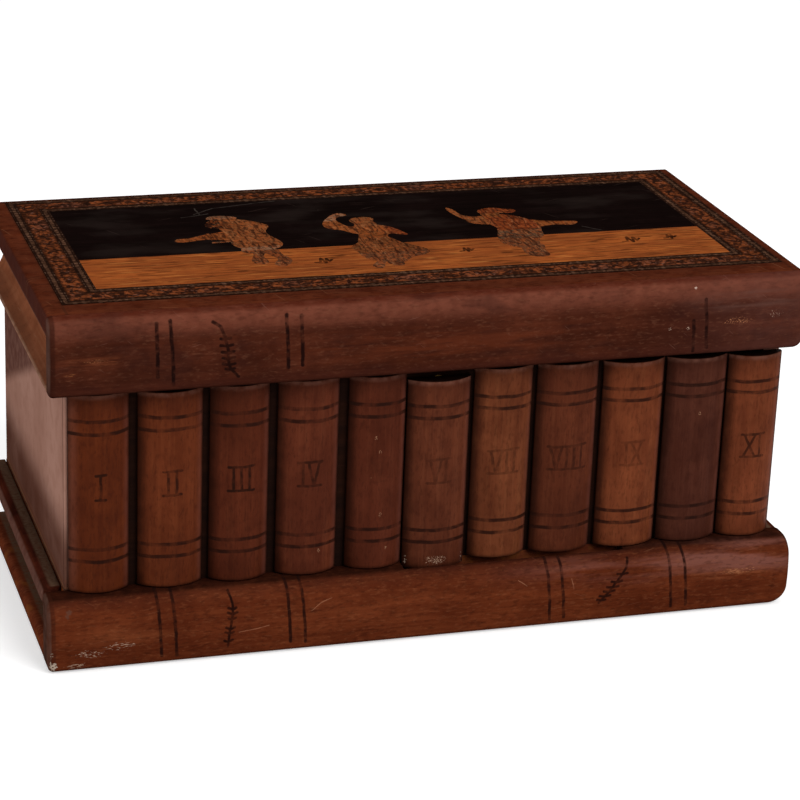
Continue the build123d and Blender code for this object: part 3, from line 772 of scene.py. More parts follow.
@dataclass(frozen=True)
class Paper:
    """Laid lining paper: matt, with fibres, faint chain lines and brown foxing.

    Real fibres are finer than half a millimetre, which is as fine as shows.
    """

    title: str
    ground: str = "#cdbb98"
    fibre: str = "#b7a27c"
    chain: str = "#a8946f"  # lines that the mould's wires leave
    fox: str = "#8d6a42"    # brown spots of age

    def build(self) -> bpy.types.Material:
        """Makes the material.

        Returns:
            The finished material.
        """
        graph = Surface(self.title)
        fibres = graph.clouds(0.5, (5, 3, 3), 2.0, 4.0)
        mask = graph.add("MapRange", {0: fibres, 1: 0.35, 2: 0.7}, **SOFT)
        codes = (self.ground, self.fibre)
        skin = Skin.bare(graph, mask, codes, fibres, (0.8, 0.92), 0.05)
        chains = tuple(range(-100, 101, 25))
        Lines(Way.X, chains, 0.2, self.chain, soft=0.5, strength=0.35).lay(skin)
        Specks(16.0, 1.5, self.fox, strength=0.5, share=0.5).lay(skin)
        return skin.close(Specular_IOR_Level=0.2)


# -------------------------------------------------------------- piece making

SMOOTH_BELOW = math.radians(35)   # flatter edges are shaded smooth
SHARP_ABOVE = math.radians(38)    # edges that wear round
FLAT_WITHIN = math.radians(0.5)   # triangles this level are one face
ROUND_STEPS = 2                   # faces across a worn edge
WELD = 1e-6                       # points this close are one, in metres
CUT_WITHIN = 1e-7                 # points this close to a cut lie on it


def nodes_box(node: str) -> Tuple[Vector, Vector]:
    """Gives a CAD node's lowest and highest corner in millimetres."""
    low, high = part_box(node)
    return low / MM, high / MM


def report(piece: bpy.types.Object) -> None:
    """Logs one finished piece with its number of faces."""
    LOG.info("%s: %d faces", piece.name, len(piece.data.polygons))


def dress(finish: bpy.types.Material, *nodes: str) -> None:
    """Gives CAD nodes their finish.

    Args:
        finish: The material.
        *nodes: Names of the CAD nodes.
    """
    for node in nodes:
        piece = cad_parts[node]
        piece.data.materials.clear()
        piece.data.materials.append(finish)
        report(piece)


def merged(node: str) -> bmesh.types.BMesh:
    """Copies a CAD node's triangles into a mesh of joined, flat faces.

    Args:
        node: Name of the CAD node.

    Returns:
        The copy, to be freed by whoever asked for it.
    """
    shape = bmesh.new()
    shape.from_mesh(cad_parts[node].data)
    bmesh.ops.remove_doubles(shape, verts=shape.verts, dist=WELD)
    bmesh.ops.dissolve_limit(
        shape, angle_limit=FLAT_WITHIN, verts=shape.verts, edges=shape.edges
    )
    return shape


def shown(
    shape: bmesh.types.BMesh,
    name: str,
    body: str,
    slot: str,
    finishes: Sequence[bpy.types.Material],
    stands_for: Sequence[str],
) -> None:
    """Turns a mesh into a piece of the object that rides on its body.

    Args:
        shape: The mesh, in place; it is freed.
        name: Name of the piece.
        body: CAD body that it rides on.
        slot: The record's material slot; not used.
        finishes: Its materials.
        stands_for: CAD nodes that it is shown for.
    """
    mesh = bpy.data.meshes.new(name)
    shape.to_mesh(mesh)
    shape.free()
    for finish in finishes:
        mesh.materials.append(finish)
    mesh.polygons.foreach_set("use_smooth", [True] * len(mesh.polygons))
    mesh.set_sharp_from_angle(angle=SMOOTH_BELOW)
    piece = bpy.data.objects.new(name, mesh)
    bpy.context.scene.collection.objects.link(piece)
    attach(piece, body)
    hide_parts(*stands_for)
    report(piece)


def rubbed(node: str, body: str, slot: str, finish: bpy.types.Material,
           radius: float) -> None:
    """Shows a CAD node with the soft edges that hands and years give wood.

    Args:
        node: Name of the CAD node.
        body: Body that it belongs to.
        slot: The record's material slot.
        finish: Its material.
        radius: Width of the softening in millimetres.
    """
    shape = merged(node)
    sharp = [
        edge for edge in shape.edges
        if len(edge.link_faces) == 2 and edge.calc_face_angle(0) > SHARP_ABOVE
    ]
    bmesh.ops.bevel(
        shape, geom=sharp, offset=radius * MM, offset_type="OFFSET", affect="EDGES",
        segments=ROUND_STEPS, profile=0.5, clamp_overlap=True, material=-1,
    )
    shown(shape, f"{node}_rubbed", body, slot, [finish], [node])


# ------------------------------------------------------------- burnt drawings


def bars(*places: Tuple[float, float, float, float]) -> Tuple[Segment, ...]:
    """Makes upright bars from the X of head and foot and their two heights."""
    return tuple(((head, high), (foot, low)) for head, foot, high, low in places)


def sprig(stem: Sequence[Point2], leaves: Sequence[Tuple[float, float, float]],
          reach: float, rise: float) -> Tuple[Segment, ...]:
    """Draws a stem with pairs of short leaves.

    Args:
        stem: Points of the stem, from its tip down.
        leaves: X and height where a pair leaves the stem, and its size.
        reach: How far a leaf of size one stands out sideways.
        rise: How far its tip lies above its root.

    Returns:
        Segments on the X-Z plane.
    """
    made: List[Segment] = list(zip(stem, stem[1:]))
    for x, z, size in leaves:
        for side in (-1, 1):
            made.append(((x, z), (x + side * reach * size, z + rise * size)))
    return tuple(made)


BARS_BASE = bars(
    (-93.0, -91.6, 25.0, 3.4), (-88.1, -86.6, 25.0, 3.0), (-50.4, -48.9, 25.0, 4.0),
    (-45.6, -43.9, 25.0, 3.6), (38.6, 40.5, 25.0, 2.8), (43.4, 45.4, 25.0, 3.2),
    (82.0, 83.9, 25.0, 3.4), (87.3, 89.4, 25.0, 3.6),
)
BARS_LID = bars(
    (-94.0, -93.5, 116.4, 98.8), (-89.6, -88.4, 117.0, 96.0), (-52.8, -51.9, 116.6, 99.2),
    (-48.0, -47.3, 116.2, 99.8), (84.0, 85.0, 106.0, 95.4), (87.9, 89.4, 113.0, 96.0),
)
SPRIG_BASE_LEFT = sprig(
    ((-69.6, 23.0), (-69.0, 21.4), (-68.6, 19.6), (-68.4, 16.1), (-69.3, 10.9), (-69.9, 4.8)),
    ((-68.6, 17.6, 0.9), (-68.5, 16.0, 1.1), (-68.7, 14.2, 0.9), (-69.2, 10.8, 1.1),
     (-69.4, 9.2, 1.0), (-69.8, 6.2, 1.0)),
    1.35, 0.6,
)
SPRIG_BASE_RIGHT = sprig(
    ((67.5, 22.1), (66.9, 19.3), (65.0, 16.5), (61.7, 12.4), (57.7, 7.6)),
    ((65.6, 17.2, 0.9), (63.6, 14.6, 0.9), (62.2, 12.8, 1.0), (61.0, 11.4, 0.9),
     (59.6, 9.8, 0.9), (58.4, 8.4, 0.7)),
    2.0, 0.3,
)
SPRIG_LID = sprig(
    ((-76.3, 116.0), (-73.8, 114.2), (-72.4, 110.9), (-71.4, 106.2), (-71.0, 101.5),
     (-70.0, 99.8), (-67.8, 97.3)),
    ((-72.2, 110.0, 0.9), (-71.9, 107.8, 1.1), (-71.5, 105.6, 1.1), (-71.3, 103.6, 1.1),
     (-71.1, 101.6, 1.1), (-70.6, 100.0, 0.8)),
    1.7, 0.3,
)
SCORES_BASE: Tuple[Segment, ...] = (
    ((-66.3, 9.5), (-56.3, 10.9)), ((-42.1, 14.6), (-39.1, 17.1)), ((-39.1, 17.1), (-35.4, 18.4)),
    ((47.5, 17.4), (48.4, 13.6)), ((28.7, 18.5), (31.7, 16.2)),
)


# ----------------------------------------------------- the books and the case

COVER_SLOT = "stained_cover_wood"
CASE_SLOT = "stained_case_wood"
BOOK_SLOT = "stained_book_wood"
CASE_TONE = Tone("#4a2b1e", "#6c4636", "#825b48")
FRONT_PLANE = (Way.X, Way.Z)
TOP_PLANE = (Way.X, Way.Y)
END_PLANE = (Way.Y, Way.Z)


@dataclass(frozen=True)
class LowerBook:
    """The base: a lying book with a sliding spine and a sliding end strip."""

    cover_edge: float = 0.3   # width of the softening of an edge, in millimetres
    strip_edge: float = 0.5   # the same on the end strips
    spine_edge: float = 0.35  # and on the spine

    def build(self) -> None:
        """Dresses the covers, the page block, the strips and the spine."""
        cover_marks = (
            Dust((-124.9, -60, 0), (-118, 62, 30)),
            Dust((118, -60, 0), (124.1, 62, 30)),
            Fade(Way.Y, -50.0, -54.0, "#2a130b", strength=0.5, seed=4),
        )
        # walnut under a red-brown varnish: dark and even, with a painted highlight along its
        # outer edge
        strips = Wood(
            "red_brown_varnished_walnut_strips", Tone("#2f120c", "#4a1f14", "#6b3826"),
            Way.Y, 3.0, specular=0.0, rough=0.46,
            marks=(
                Mottle(6.0, "#220e08", 0.50, 0.64, 0.6, 7.0, (1, 2, 1)),
                # painted highlight along the outer rounded edge
                Fade(Way.X, -126.8, -127.5, "#6d4c42", strength=0.7, patchy=0.4, seed=6),
            ) + cover_marks,
        ).build()
        # the same varnish on a paler board, with an orange glow where it has thinned
        cover = Wood(
            "red_brown_varnished_walnut_cover", Tone("#4a1e12", "#6b311c", "#8e5337"),
            Way.X, 5.0, specular=0.0, rough=0.48,
            marks=(Mottle(7.0, "#7a4420", 0.54, 0.66, 0.6, 3.0, (1, 2, 1)),) + cover_marks,
        ).build()
        # beech left bare and scored like pages: dull, and darker and greyer towards the bottom
        pages = Wood(
            "bare_grubby_beech_pages", Tone("#4b2f20", "#6f4a33", "#8b6547"), Way.X, 6.0,
            figure=3.0, rough=0.75,
            marks=(
                Lines(Way.Z, (8.4, 11.0, 13.6, 16.0), 0.12, "#3a2418", soft=0.2, strength=0.5,
                      waver=0.3),
                Fade(Way.Z, 12.0, 5.0, "#3d2a20", strength=0.8, seed=2, rough=0.9),
            ),
        ).build()
        rubbed("base_lower_cover", "case", COVER_SLOT, cover, self.cover_edge)
        dress(cover, "base_upper_cover")
        rubbed("base_strip_left", "strip", COVER_SLOT, strips, self.strip_edge)
        rubbed("base_strip_right", "case", COVER_SLOT, strips, self.strip_edge)
        dress(pages, "base_page_block", "base_strip_key", "base_spine_battens")
        self.spine()

    def spine(self) -> None:
        """Shows the sliding spine with its burnt bars, sprigs, chips and rubs, and its painted
        shade, sheen and highlight.
        """
        marks: Tuple[Mark, ...] = (
            # a dark crest and foot, varnish rubbed thin between them, and a painted sheen high on
            # the right
            Fade(Way.Z, 19.0, 24.6, "#3a1c14", strength=0.55, seed=7, patchy=0.4),
            Fade(Way.Z, 2.5, 0.0, "#3a180d", strength=0.5, seed=9, patchy=0.4),
            # painted sheen: a pale mauve reflection over the upper right
            RubAndSheen((100, -62, 19.5), (95, 11, 9), "#7d5046", 0.55, 5.0, seed=14),
            RubAndSheen((106, -64, 14), (22, 8, 3.5), "#7d452a", 0.45, 0.9, seed=3),
            Spot((108, -64, 14.5), (16, 6, 2.6), "#a06a48", 0.6, 0.3, 0.02,
                 stretch=(4, 1, 1), seed=3),
            RubAndSheen((-14, -64, 12), (80, 8, 8), "#74391f", 0.40, 3.0, seed=5),
            RubAndSheen((-100, -64, 14), (26, 8, 9), "#7a4024", 0.40, 4.0, seed=6),
            # dark and pale flecks along the grain; painted shadow under the books' feet, darker
            # towards the left end, and a painted highlight on the rounded end
            Mottle(1.0, "#2c120a", 0.50, 0.66, 0.35, 31.0, (3, 1, 1)),
            Mottle(0.7, "#824c30", 0.52, 0.74, 0.25, 33.0, (3, 1, 1)),
            # painted shadow where the books' feet stand on the spine
            Fade(Way.Y, -60.4, -58.2, "#1a0a06", strength=0.85, patchy=0.3, seed=11),
            Fade(Way.X, -125.6, -126.2, "#35180f", strength=0.6, patchy=0.3, seed=12),
            # painted highlight on the rounded left end
            Fade(Way.X, -127.0, -127.5, "#5f463c", strength=0.5, patchy=0.6, seed=13),
            Spot((-121.5, -63, 20.4), (4.0, 5, 3.0), "#54382c", 0.65, 1.8, 0.12, seed=13),
            # burnt bars and sprigs, and scores across them
            Strokes(FRONT_PLANE, BARS_BASE, 0.32, "#1c0d0a", soft=0.4, strength=0.92,
                    patchy=0.55, seed=2),
            Strokes(FRONT_PLANE, SPRIG_BASE_LEFT, 0.26, "#170a08", soft=0.35,
                    strength=0.95, patchy=0.4, seed=1),
            Strokes(FRONT_PLANE, SPRIG_BASE_RIGHT, 0.28, "#170a08", soft=0.35,
                    strength=0.9, patchy=0.5, seed=2),
            Strokes(FRONT_PLANE, SCORES_BASE, 0.05, "#a06c50", soft=0.18, strength=0.45,
                    patchy=0.6, seed=4),
            Scratches(FRONT_PLANE, (24, -8), "#8d5a40", 0.2, 9.0, 0.12, 0.82, 4.0),
            # chips down to the bare wood at the left foot, and one at the right end
            Spot((-126.6, -63, 3.0), (2.4, 6, 3.6), "#b3a18f", 0.85, 0.7, 0.16, 0.8, 0.1, seed=6),
            Spot((-127.2, -62, 7.0), (1.6, 6, 5.0), "#a08d7c", 0.7, 0.5, 0.02, 0.8, 0.1, seed=7),
            Spot((-119, -63, 2.6), (10, 6, 2.6), "#a98c76", 0.75, 0.30, 0.0, 0.8, 0.05,
                 stretch=(5, 1, 1), seed=8),
            Spot((-115, -63, 6.5), (13, 6, 4.0), "#b0937e", 0.75, 0.30, -0.01, 0.8, 0.05,
                 stretch=(4, 1, 1), seed=11),
            Spot((-105, -63, 8.5), (14, 6, 4.0), "#b0937e", 0.8, 0.30, 0.0, 0.8, 0.05,
                 stretch=(5, 1, 1), seed=12),
            Spot((124.1, -61, 12), (3, 6, 4), "#a58a78", 0.7, 0.5, 0.0, 0.8, seed=9),
        )
        # varnished walnut, red-brown and satin, worn to bare wood at the left foot
        finish = Wood(
            "varnished_walnut_base_spine", Tone("#3f170b", "#5c2915", "#7c4124"), Way.X, 11.0,
            figure=8.0, contrast=0.4, specular=0.0, rough=0.46, streak=0.22, pores=0.3,
            marks=marks,
        ).build()
        rubbed("base_spine", "spine", COVER_SLOT, finish, self.spine_edge)


class Numeral(Enum):
    """Roman numerals of the row, as the letters that are burnt."""

    ONE = "I"
    TWO = "II"
    THREE = "III"
    FOUR = "IV"
    FIVE = "V"
    SIX = "VI"
    SEVEN = "VII"
    EIGHT = "VIII"
    NINE = "IX"
    TEN = "X"
    ELEVEN = "XI"


@dataclass(frozen=True)
class Volume:
    """One upright book: its stain, its numeral and how worn that is."""

    numeral: Numeral
    tone: Tone
    burn: float                      # how dark its numeral has stayed
    seed: float
    flecks: Tuple[Point2, ...] = ()  # chips: along X from its middle, and their height


@dataclass(frozen=True)
class BookRow:
    """The row of upright books on the front of the case."""

    edge: float = 0.4        # width of the softening of an edge, in millimetres
    sag: float = 1.9         # how low the sixth book hangs
    height: float = 8.0      # height of a numeral
    foot: float = 0.3        # how far its feet stand out
    left_mid: float = 61.0   # height of its middle on the first book
    right_mid: float = 57.8  # and on the last book
    # heights of the two pairs of lines, on the first book and on the last
    upper: Tuple[Point2, Point2] = ((83.3, 79.0), (80.8, 76.9))
    lower: Tuple[Point2, Point2] = ((39.9, 35.8), (37.4, 33.0))
    # how wide each letter stands
    spread: Mapping[str, float] = field(default_factory=lambda: {"I": 2.6, "V": 4.6, "X": 4.8})
    volumes: Tuple[Volume, ...] = (
        Volume(Numeral.ONE, Tone("#3c170b", "#552511", "#70381d"), 0.88, 1.0),
        Volume(Numeral.TWO, Tone("#431b0d", "#5f2c17", "#7c4224"), 0.86, 2.0),
        Volume(Numeral.THREE, Tone("#35150b", "#502314", "#6c3822"), 0.95, 3.0),
        Volume(Numeral.FOUR, Tone("#3d190f", "#582919", "#76412a"), 0.80, 4.0,
               ((3.5, 33.0),)),
        Volume(Numeral.FIVE, Tone("#37160c", "#502416", "#6d3a26"), 0.16, 5.0,
               ((-1.3, 70.8), (0.3, 66.0), (1.0, 44.0), (3.5, 32.0))),
        Volume(Numeral.SIX, Tone("#3d1b11", "#592c1b", "#77452e"), 0.42, 6.0),
        Volume(Numeral.SEVEN, Tone("#472012", "#66351f", "#845030"), 0.48, 7.0),
        Volume(Numeral.EIGHT, Tone("#39180e", "#542818", "#713f28"), 0.60, 8.0),
        Volume(Numeral.NINE, Tone("#4d2213", "#6f3820", "#8d5432"), 0.38, 9.0),
        Volume(Numeral.TEN, Tone("#30140e", "#472419", "#62372a"), 0.14, 10.0,
               ((0.5, 71.0),)),
        Volume(Numeral.ELEVEN, Tone("#4b2212", "#6d3620", "#8a5030"), 0.78, 11.0),
    )

    def strokes(self, numeral: Numeral, middle: float, height: float) -> Tuple[Segment, ...]:
        """Draws a numeral with straight strokes and thin feet.

        Args:
            numeral: Which numeral.
            middle: Its middle along X, in millimetres.
            height: Height of its middle above the table.

        Returns:
            Segments on the X-Z plane.
        """
        total = sum(self.spread[letter] for letter in numeral.value)
        left, foot, head = middle - total / 2, height - self.height / 2, height + self.height / 2
        made: List[Segment] = []
        for letter in numeral.value:
            width = self.spread[letter]
            centre, reach = left + width / 2, width / 2 - 0.45
            shapes: Dict[str, Tuple[Segment, ...]] = {
                "I": (((centre, foot), (centre, head)),),
                "V": (((centre - reach, head), (centre, foot)),
                      ((centre, foot), (centre + reach, head))),
                "X": (((centre - reach, head), (centre + reach, foot)),
                      ((centre - reach, foot), (centre + reach, head))),
            }
            made.extend(shapes[letter])
            left += width
        edge = total / 2 + self.foot
        made.append(((middle - edge, head), (middle + edge, head + 0.15)))
        made.append(((middle - edge, foot), (middle + edge, foot - 0.1)))
        return tuple(made)

    def marks(self, number: int) -> Tuple[Mark, ...]:
        """Collects what a book carries: lines, numeral, rubbed ends, and painted shade and sheen.

        Args:
            number: Place in the row, from zero.

        Returns:
            The marks, lowest first.
        """
        volume = self.volumes[number]
        low, high = nodes_box(f"book_{number + 1:02d}")
        share = number / (len(self.volumes) - 1)
        sag = self.sag if volume.numeral is Numeral.SIX else 0.0
        rows = [
            left + (right - left) * share - sag
            for pair in (self.upper, self.lower)
            for left, right in zip(pair[0], pair[1])
        ]
        mid = self.left_mid + (self.right_mid - self.left_mid) * share - sag
        centre = (low.x + high.x) / 2
        found: List[Mark] = [
            # painted shade and a dark joint down the left side (a painted sheen on the first
            # book), a painted sheen and a thin dark joint down the right, and mottled stain
            Lines(Way.X, (low.x,), 0.7, "#1c0a05" if number else "#744232", soft=2.8,
                  strength=0.7 if number else 0.45, patchy=0.3, seed=volume.seed),
            Mottle(0.8, "#2a1009", 0.50, 0.68, 0.3, volume.seed + 31, (1, 1, 3)),
            Mottle(6.0, "#32120a", 0.50, 0.70, 0.3, volume.seed + 35, (1, 1, 3)),
            # painted sheen down the right side
            Lines(Way.X, (high.x,), 0.3, "#6b3d33", soft=2.6, strength=0.45, patchy=0.5,
                  seed=volume.seed + 6),
            Lines(Way.X, (high.x,), 0.1, "#200d07", soft=0.8, strength=0.7, patchy=0.3,
                  seed=volume.seed + 8),
            # painted shade towards the case, under the lid at the head, in the gap above the head
            # and at the foot, with a rubbed head that carries a painted highlight
            Fade(Way.Y, -55.4, -53.0, "#160905", strength=0.92, patchy=0.15, seed=volume.seed),
            Fade(Way.Z, high.z - 9, high.z, "#35170e", strength=0.40, patchy=0.5,
                 seed=volume.seed + 0.5),
            # rubbed head, partly wear and partly a painted highlight
            Fade(Way.Z, high.z - 2.2, high.z - 0.4, "#85594a", strength=0.38, grit=2.5,
                 patchy=0.8, seed=volume.seed + 1),
            # painted shade in the gap between the head and the lid
            Lines(Way.Z, (high.z,), 0.04, "#0c0403", soft=0.25, strength=0.95, patchy=0.0),
            # painted contact shadow at the foot
            Fade(Way.Z, low.z + 1.5, low.z, "#1c0b06", strength=0.75, patchy=0.3,
                 seed=volume.seed + 2),
            # two pairs of burnt lines, the numeral, and a few pale flecks
            Lines(Way.Z, tuple(rows), 0.40, "#1f0e09", soft=0.42, strength=0.90, patchy=0.75,
                  waver=0.40, dent=0.08, seed=volume.seed + 3),
            Strokes(FRONT_PLANE, self.strokes(volume.numeral, centre, mid), 0.3, "#1f0e08",
                    soft=0.3, strength=volume.burn, patchy=0.6, waver=0.2, seed=volume.seed),
            Specks(9.0, 0.22, "#94694d", 0.35, 0.14, seed=volume.seed),
        ]
        # the sixth book is rubbed bare at its foot, where it goes down
        if volume.numeral is Numeral.SIX:
            for side in (low.x + 0.8, high.x - 0.8):
                found.append(
                    Spot((side, -57, low.z + 2.5), (1.3, 4, 4.5), "#b79d8a", 0.7, 0.5, 0.25, 0.8,
                         seed=volume.seed + side)
                )
            found.append(
                Spot((centre, -58, low.z + 3), (10, 4, 4.0), "#b8977e", 0.85, 0.35, 0.0, 0.8,
                     seed=4)
            )
        for x, z in volume.flecks:
            found.append(
                Spot((centre + x, -58, z), (1.2, 4, 1.6), "#9c7358", 0.6, 0.4, 0.06, 0.8,
                     seed=volume.seed + z)
            )
        return tuple(found)

    def build(self) -> None:
        """Shows every book with its own stain and marks."""
        for number, volume in enumerate(self.volumes):
            node = f"book_{number + 1:02d}"
            # beech, each book stained and varnished its own red-brown: a close
            # straight grain with a satin face, and painted shade in the gaps between
            finish = Wood(
                f"varnished_beech_book_{number + 1:02d}", volume.tone, Way.Z, 20 + volume.seed,
                figure=5.0, fibre=0.4, contrast=0.25, rough=0.44, specular=0.015,
                streak=0.18, pores=0.2,
                marks=self.marks(number),
            ).build()
            body = "trick_book" if volume.numeral is Numeral.SIX else "case"
            rubbed(node, body, BOOK_SLOT, finish, self.edge)


@dataclass(frozen=True)
class Case:
    """The box proper, behind the row of books."""

    side_edge: float = 0.35  # width of the softening of an edge, in millimetres

    def build(self) -> None:
        """Dresses the boards and the lining."""
        side_marks = (
            # painted shade towards the foot and a painted shadow of the lid under it, a painted
            # highlight along the bottom edge, and a line where it meets each neighbour
            Fade(Way.Z, 54.0, 36.0, "#47251a", strength=0.9, seed=2, grit=30, patchy=0.2),
            # painted shadow of the lid's overhang, slanting towards the front
            Fade(Way.Z, 78.0, 84.0, "#43201a", strength=0.82, seed=4, patchy=0.2, slope=0.42),
            Lines(Way.Z, (26.5,), 0.9, "#6a4030", soft=1.5, strength=0.6, patchy=0.4),
            # painted highlight along the bottom edge
            Lines(Way.Z, (25.2,), 0.15, "#8a5a3c", soft=0.5, strength=0.6, patchy=0.5),
            Lines(Way.Y, (-51.5,), 0.2, "#3a2119", soft=0.5, strength=0.5, patchy=0.3),
            Lines(Way.Z, (93.1,), 0.5, "#2a1610", soft=2.0, strength=0.6),
            Scratches(END_PLANE, (3, 35), "#8d7060", 0.2, 20.0, 0.18, 0.81, 3.0),
        )
        # waxed walnut with hardly a grain, coloured a pale pinkish brown that paints in the sheen
        # of a reflection
        side = Wood(
            "waxed_walnut_case_sides", Tone("#8a6152", "#a57c6d", "#b38c7d"), Way.Z, 31.0,
            figure=14.0, contrast=0.10, streak=0.10, pores=0.08, rough=0.42, specular=0.0,
            marks=side_marks,
        ).build()
        # the same wax on wood that has kept its colour
        back = Wood(
            "waxed_walnut_case_back", CASE_TONE, Way.X, 33.0, figure=10.0, rough=0.42,
            specular=0.05,
            marks=(
                Fade(Way.Z, 34.0, 24.0, "#35201a", strength=0.6, seed=5, rough=0.7),
                Scratches(FRONT_PLANE, (6, -31), "#7d5f50", 0.3, 20.0, 0.18, 0.79, 5.0),
            ),
        ).build()
        # beech coloured nearly black as painted shade, so that the gaps between the books look
        # deep
        front = Wood(
            "dark_stained_beech_behind_books", Tone("#120806", "#1d0c06", "#2a140b"), Way.X, 34.0,
            rough=0.8, specular=0.03,
        ).build()
        for node in ("case_side_left", "case_side_right"):
            rubbed(node, "case", CASE_SLOT, side, self.side_edge)
        dress(back, "case_back")
        dress(front, "case_front")
        paper = Paper("laid_lining_paper").build()
        dress(paper, "lining_floor", "lining_walls", "lining_lid")


@dataclass(frozen=True)
class Lid:
    """The upper lying book, without its inlaid picture."""

    board_edge: float = 0.3   # width of the softening of an edge, in millimetres
    spine_edge: float = 0.35  # the same on the spine

    def build(self) -> None:
        """Dresses the spine, the top board, the page ends and the rails."""
        self.spine()
        # varnished walnut round the picture: dark and matt, with painted highlights along its
        # edges and on its left end
        board = Wood(
            "varnished_walnut_top_board", Tone("#300f07", "#481b0c", "#632e18"), Way.X, 41.0,
            rough=0.6, specular=0.0,
            marks=(
                Lines(Way.X, (-120.8, 120.8), 0.2, "#1a0b07", soft=0.5, strength=0.6),
                # painted highlights along the upper front edge and the lower edge
                Lines(Way.Z, (119.5,), 0.1, "#6b3a26", soft=0.5, strength=0.25, patchy=0.7),
                Lines(Way.Z, (112.9,), 0.35, "#8a6654", soft=0.5, strength=0.7, patchy=0.4),
                Mottle(1.0, "#250d07", 0.50, 0.66, 0.4, 31.0, (3, 1, 1)),
                # painted highlight on the left end
                Fade(Way.X, -126.4, -127.2, "#472923", strength=0.7, patchy=0.3),
                Scratches(TOP_PLANE, (12, 75), "#8a5c40", 0.3, 14.0, 0.16, 0.79, 6.0),
                Specks(11.0, 0.25, "#b39a84", 0.5, 0.15, seed=4),
            ),
        ).build()
        rubbed("lid_top_board", "lid", COVER_SLOT, board, self.board_edge)
        # beech, bare but handled: a warm tan, with painted shade under the top board, browner
        # towards the bottom, and a painted highlight along the lower edge
        pages = Wood(
            "bare_handled_beech_page_ends", Tone("#643824", "#874f35", "#9c6a4c"), Way.Y, 43.0,
            figure=5.0, contrast=0.35, streak=0.2, pores=0.3, rough=0.6, specular=0.0,
            marks=(
                # painted highlight along the lower edge
                Lines(Way.Z, (94.1,), 0.25, "#b58f76", soft=0.3, strength=0.7, patchy=0.5),
                # painted shade under the top board
                Fade(Way.Z, 109.0, 112.5, "#3f261a", strength=0.6, seed=3),
                Fade(Way.Z, 99.0, 94.0, "#523528", strength=0.4, seed=5),
                Specks(24.0, 0.5, "#120805", 0.9, 0.16, 0.6, seed=7),
                Scratches(END_PLANE, (4, 48), "#8a6650", 0.3, 14.0, 0.18, 0.79, 8.0),
            ),
        ).build()
        dress(pages, "lid_page_end_left", "lid_page_end_right")
        # plain waxed walnut, as on the back of the case
        rail = Wood("waxed_walnut_lid_rails", CASE_TONE, Way.X, 45.0, rough=0.45).build()
        dress(rail, "lid_front_rail", "lid_lock_ledge", "lid_back_rail")

    def spine(self) -> None:
        """Shows the lid's spine with its burnt bars, sprig and worn patches, and its painted
        highlights, shade and sheen.
        """
        marks: Tuple[Mark, ...] = (
            # a painted highlight on the crest over dark streaks, painted shade along the top edge
            # and towards the foot, darker towards the left end with a painted highlight on its
            # rounding, and a painted sheen towards the right
            Fade(Way.Z, 110.0, 117.0, "#744030", strength=0.7, seed=2, patchy=0.35),
            # painted shade along the top edge
            Lines(Way.Z, (119.5,), 0.2, "#43170b", soft=1.2, strength=0.8, patchy=0.3, seed=1),
            Mottle(1.0, "#2a100a", 0.50, 0.66, 0.25, 31.0, (3, 1, 1)),
            Mottle(0.7, "#714734", 0.52, 0.74, 0.25, 33.0, (3, 1, 1)),
            Mottle(7.0, "#241210", 0.52, 0.68, 0.35, 35.0, (3, 1, 1)),
            Fade(Way.X, -125.0, -125.8, "#2a120c", strength=0.7, patchy=0.3, seed=12),
            # painted highlight on the rounded left end
            Fade(Way.X, -126.6, -127.2, "#62483f", strength=0.55, patchy=0.5, seed=14),
            # painted shade towards the foot
            Fade(Way.Z, 99.0, 94.0, "#351711", strength=0.7, seed=4, patchy=0.4),
            Lines(Way.Z, (93.6,), 0.2, "#1a0c08", soft=0.9, strength=0.7, patchy=0.3, seed=5),
            # painted sheen towards the right end
            Fade(Way.X, 60.0, 127.0, "#55332c", strength=0.4, seed=5, patchy=0.4),
            # varnish rubbed thin in patches
            RubAndSheen((104, -63, 112), (30, 8, 6), "#583c34", 0.4, 2.0, seed=3),
            RubAndSheen((0, -63, 104), (80, 8, 9), "#5f2b18", 0.45, 3.0, seed=6),
            RubAndSheen((-102, -63, 100), (16, 9, 9), "#2e130c", 0.40, 4.0, seed=21),
            RubAndSheen((-113, -63, 105.6), (16, 8, 3.0), "#6c3822", 0.45, 0.8, seed=7),
            Spot((-113, -63, 105.6), (12, 6, 2.4), "#8c5836", 0.6, 0.3, 0.0,
                 stretch=(3, 1, 1), seed=7),
            Spot((-121, -63, 101.6), (5, 6, 1.8), "#85502f", 0.5, 0.3, 0.0,
                 stretch=(5, 1, 1), seed=8),
            # burnt bars and a sprig
            Strokes(FRONT_PLANE, BARS_LID, 0.36, "#150908", soft=0.45, strength=0.92,
                    patchy=0.65, seed=5),
            Strokes(FRONT_PLANE, SPRIG_LID, 0.32, "#170a08", soft=0.35, strength=0.9,
                    patchy=0.5, seed=3),
            Scratches(FRONT_PLANE, (40, -12), "#94695a", 0.18, 7.0, 0.12, 0.83, 9.0),
            # chips and bruises at the right
            Spot((84.3, -63, 117.0), (1.0, 6, 0.9), "#b8a090", 0.8, 0.3, 0.15, seed=2),
            Spot((75.9, -63, 103.8), (1.6, 6, 1.4), "#a88c7a", 0.8, 0.3, 0.05, seed=3),
            Spot((82.3, -63, 103.6), (1.6, 6, 1.6), "#a88c7a", 0.8, 0.3, 0.05, seed=5),
            Spot((100, -63, 105.2), (15, 6, 3.6), "#a86e4c", 0.75, 0.3, -0.01,
                 stretch=(2, 1, 1), seed=6),
            Spot((113, -63, 107), (7, 6, 4.6), "#a08070", 0.6, 0.3, -0.02,
                 stretch=(1, 1, 3), seed=9),
            Specks(17.0, 0.24, "#b8a090", 0.5, 0.12, seed=6),
        )
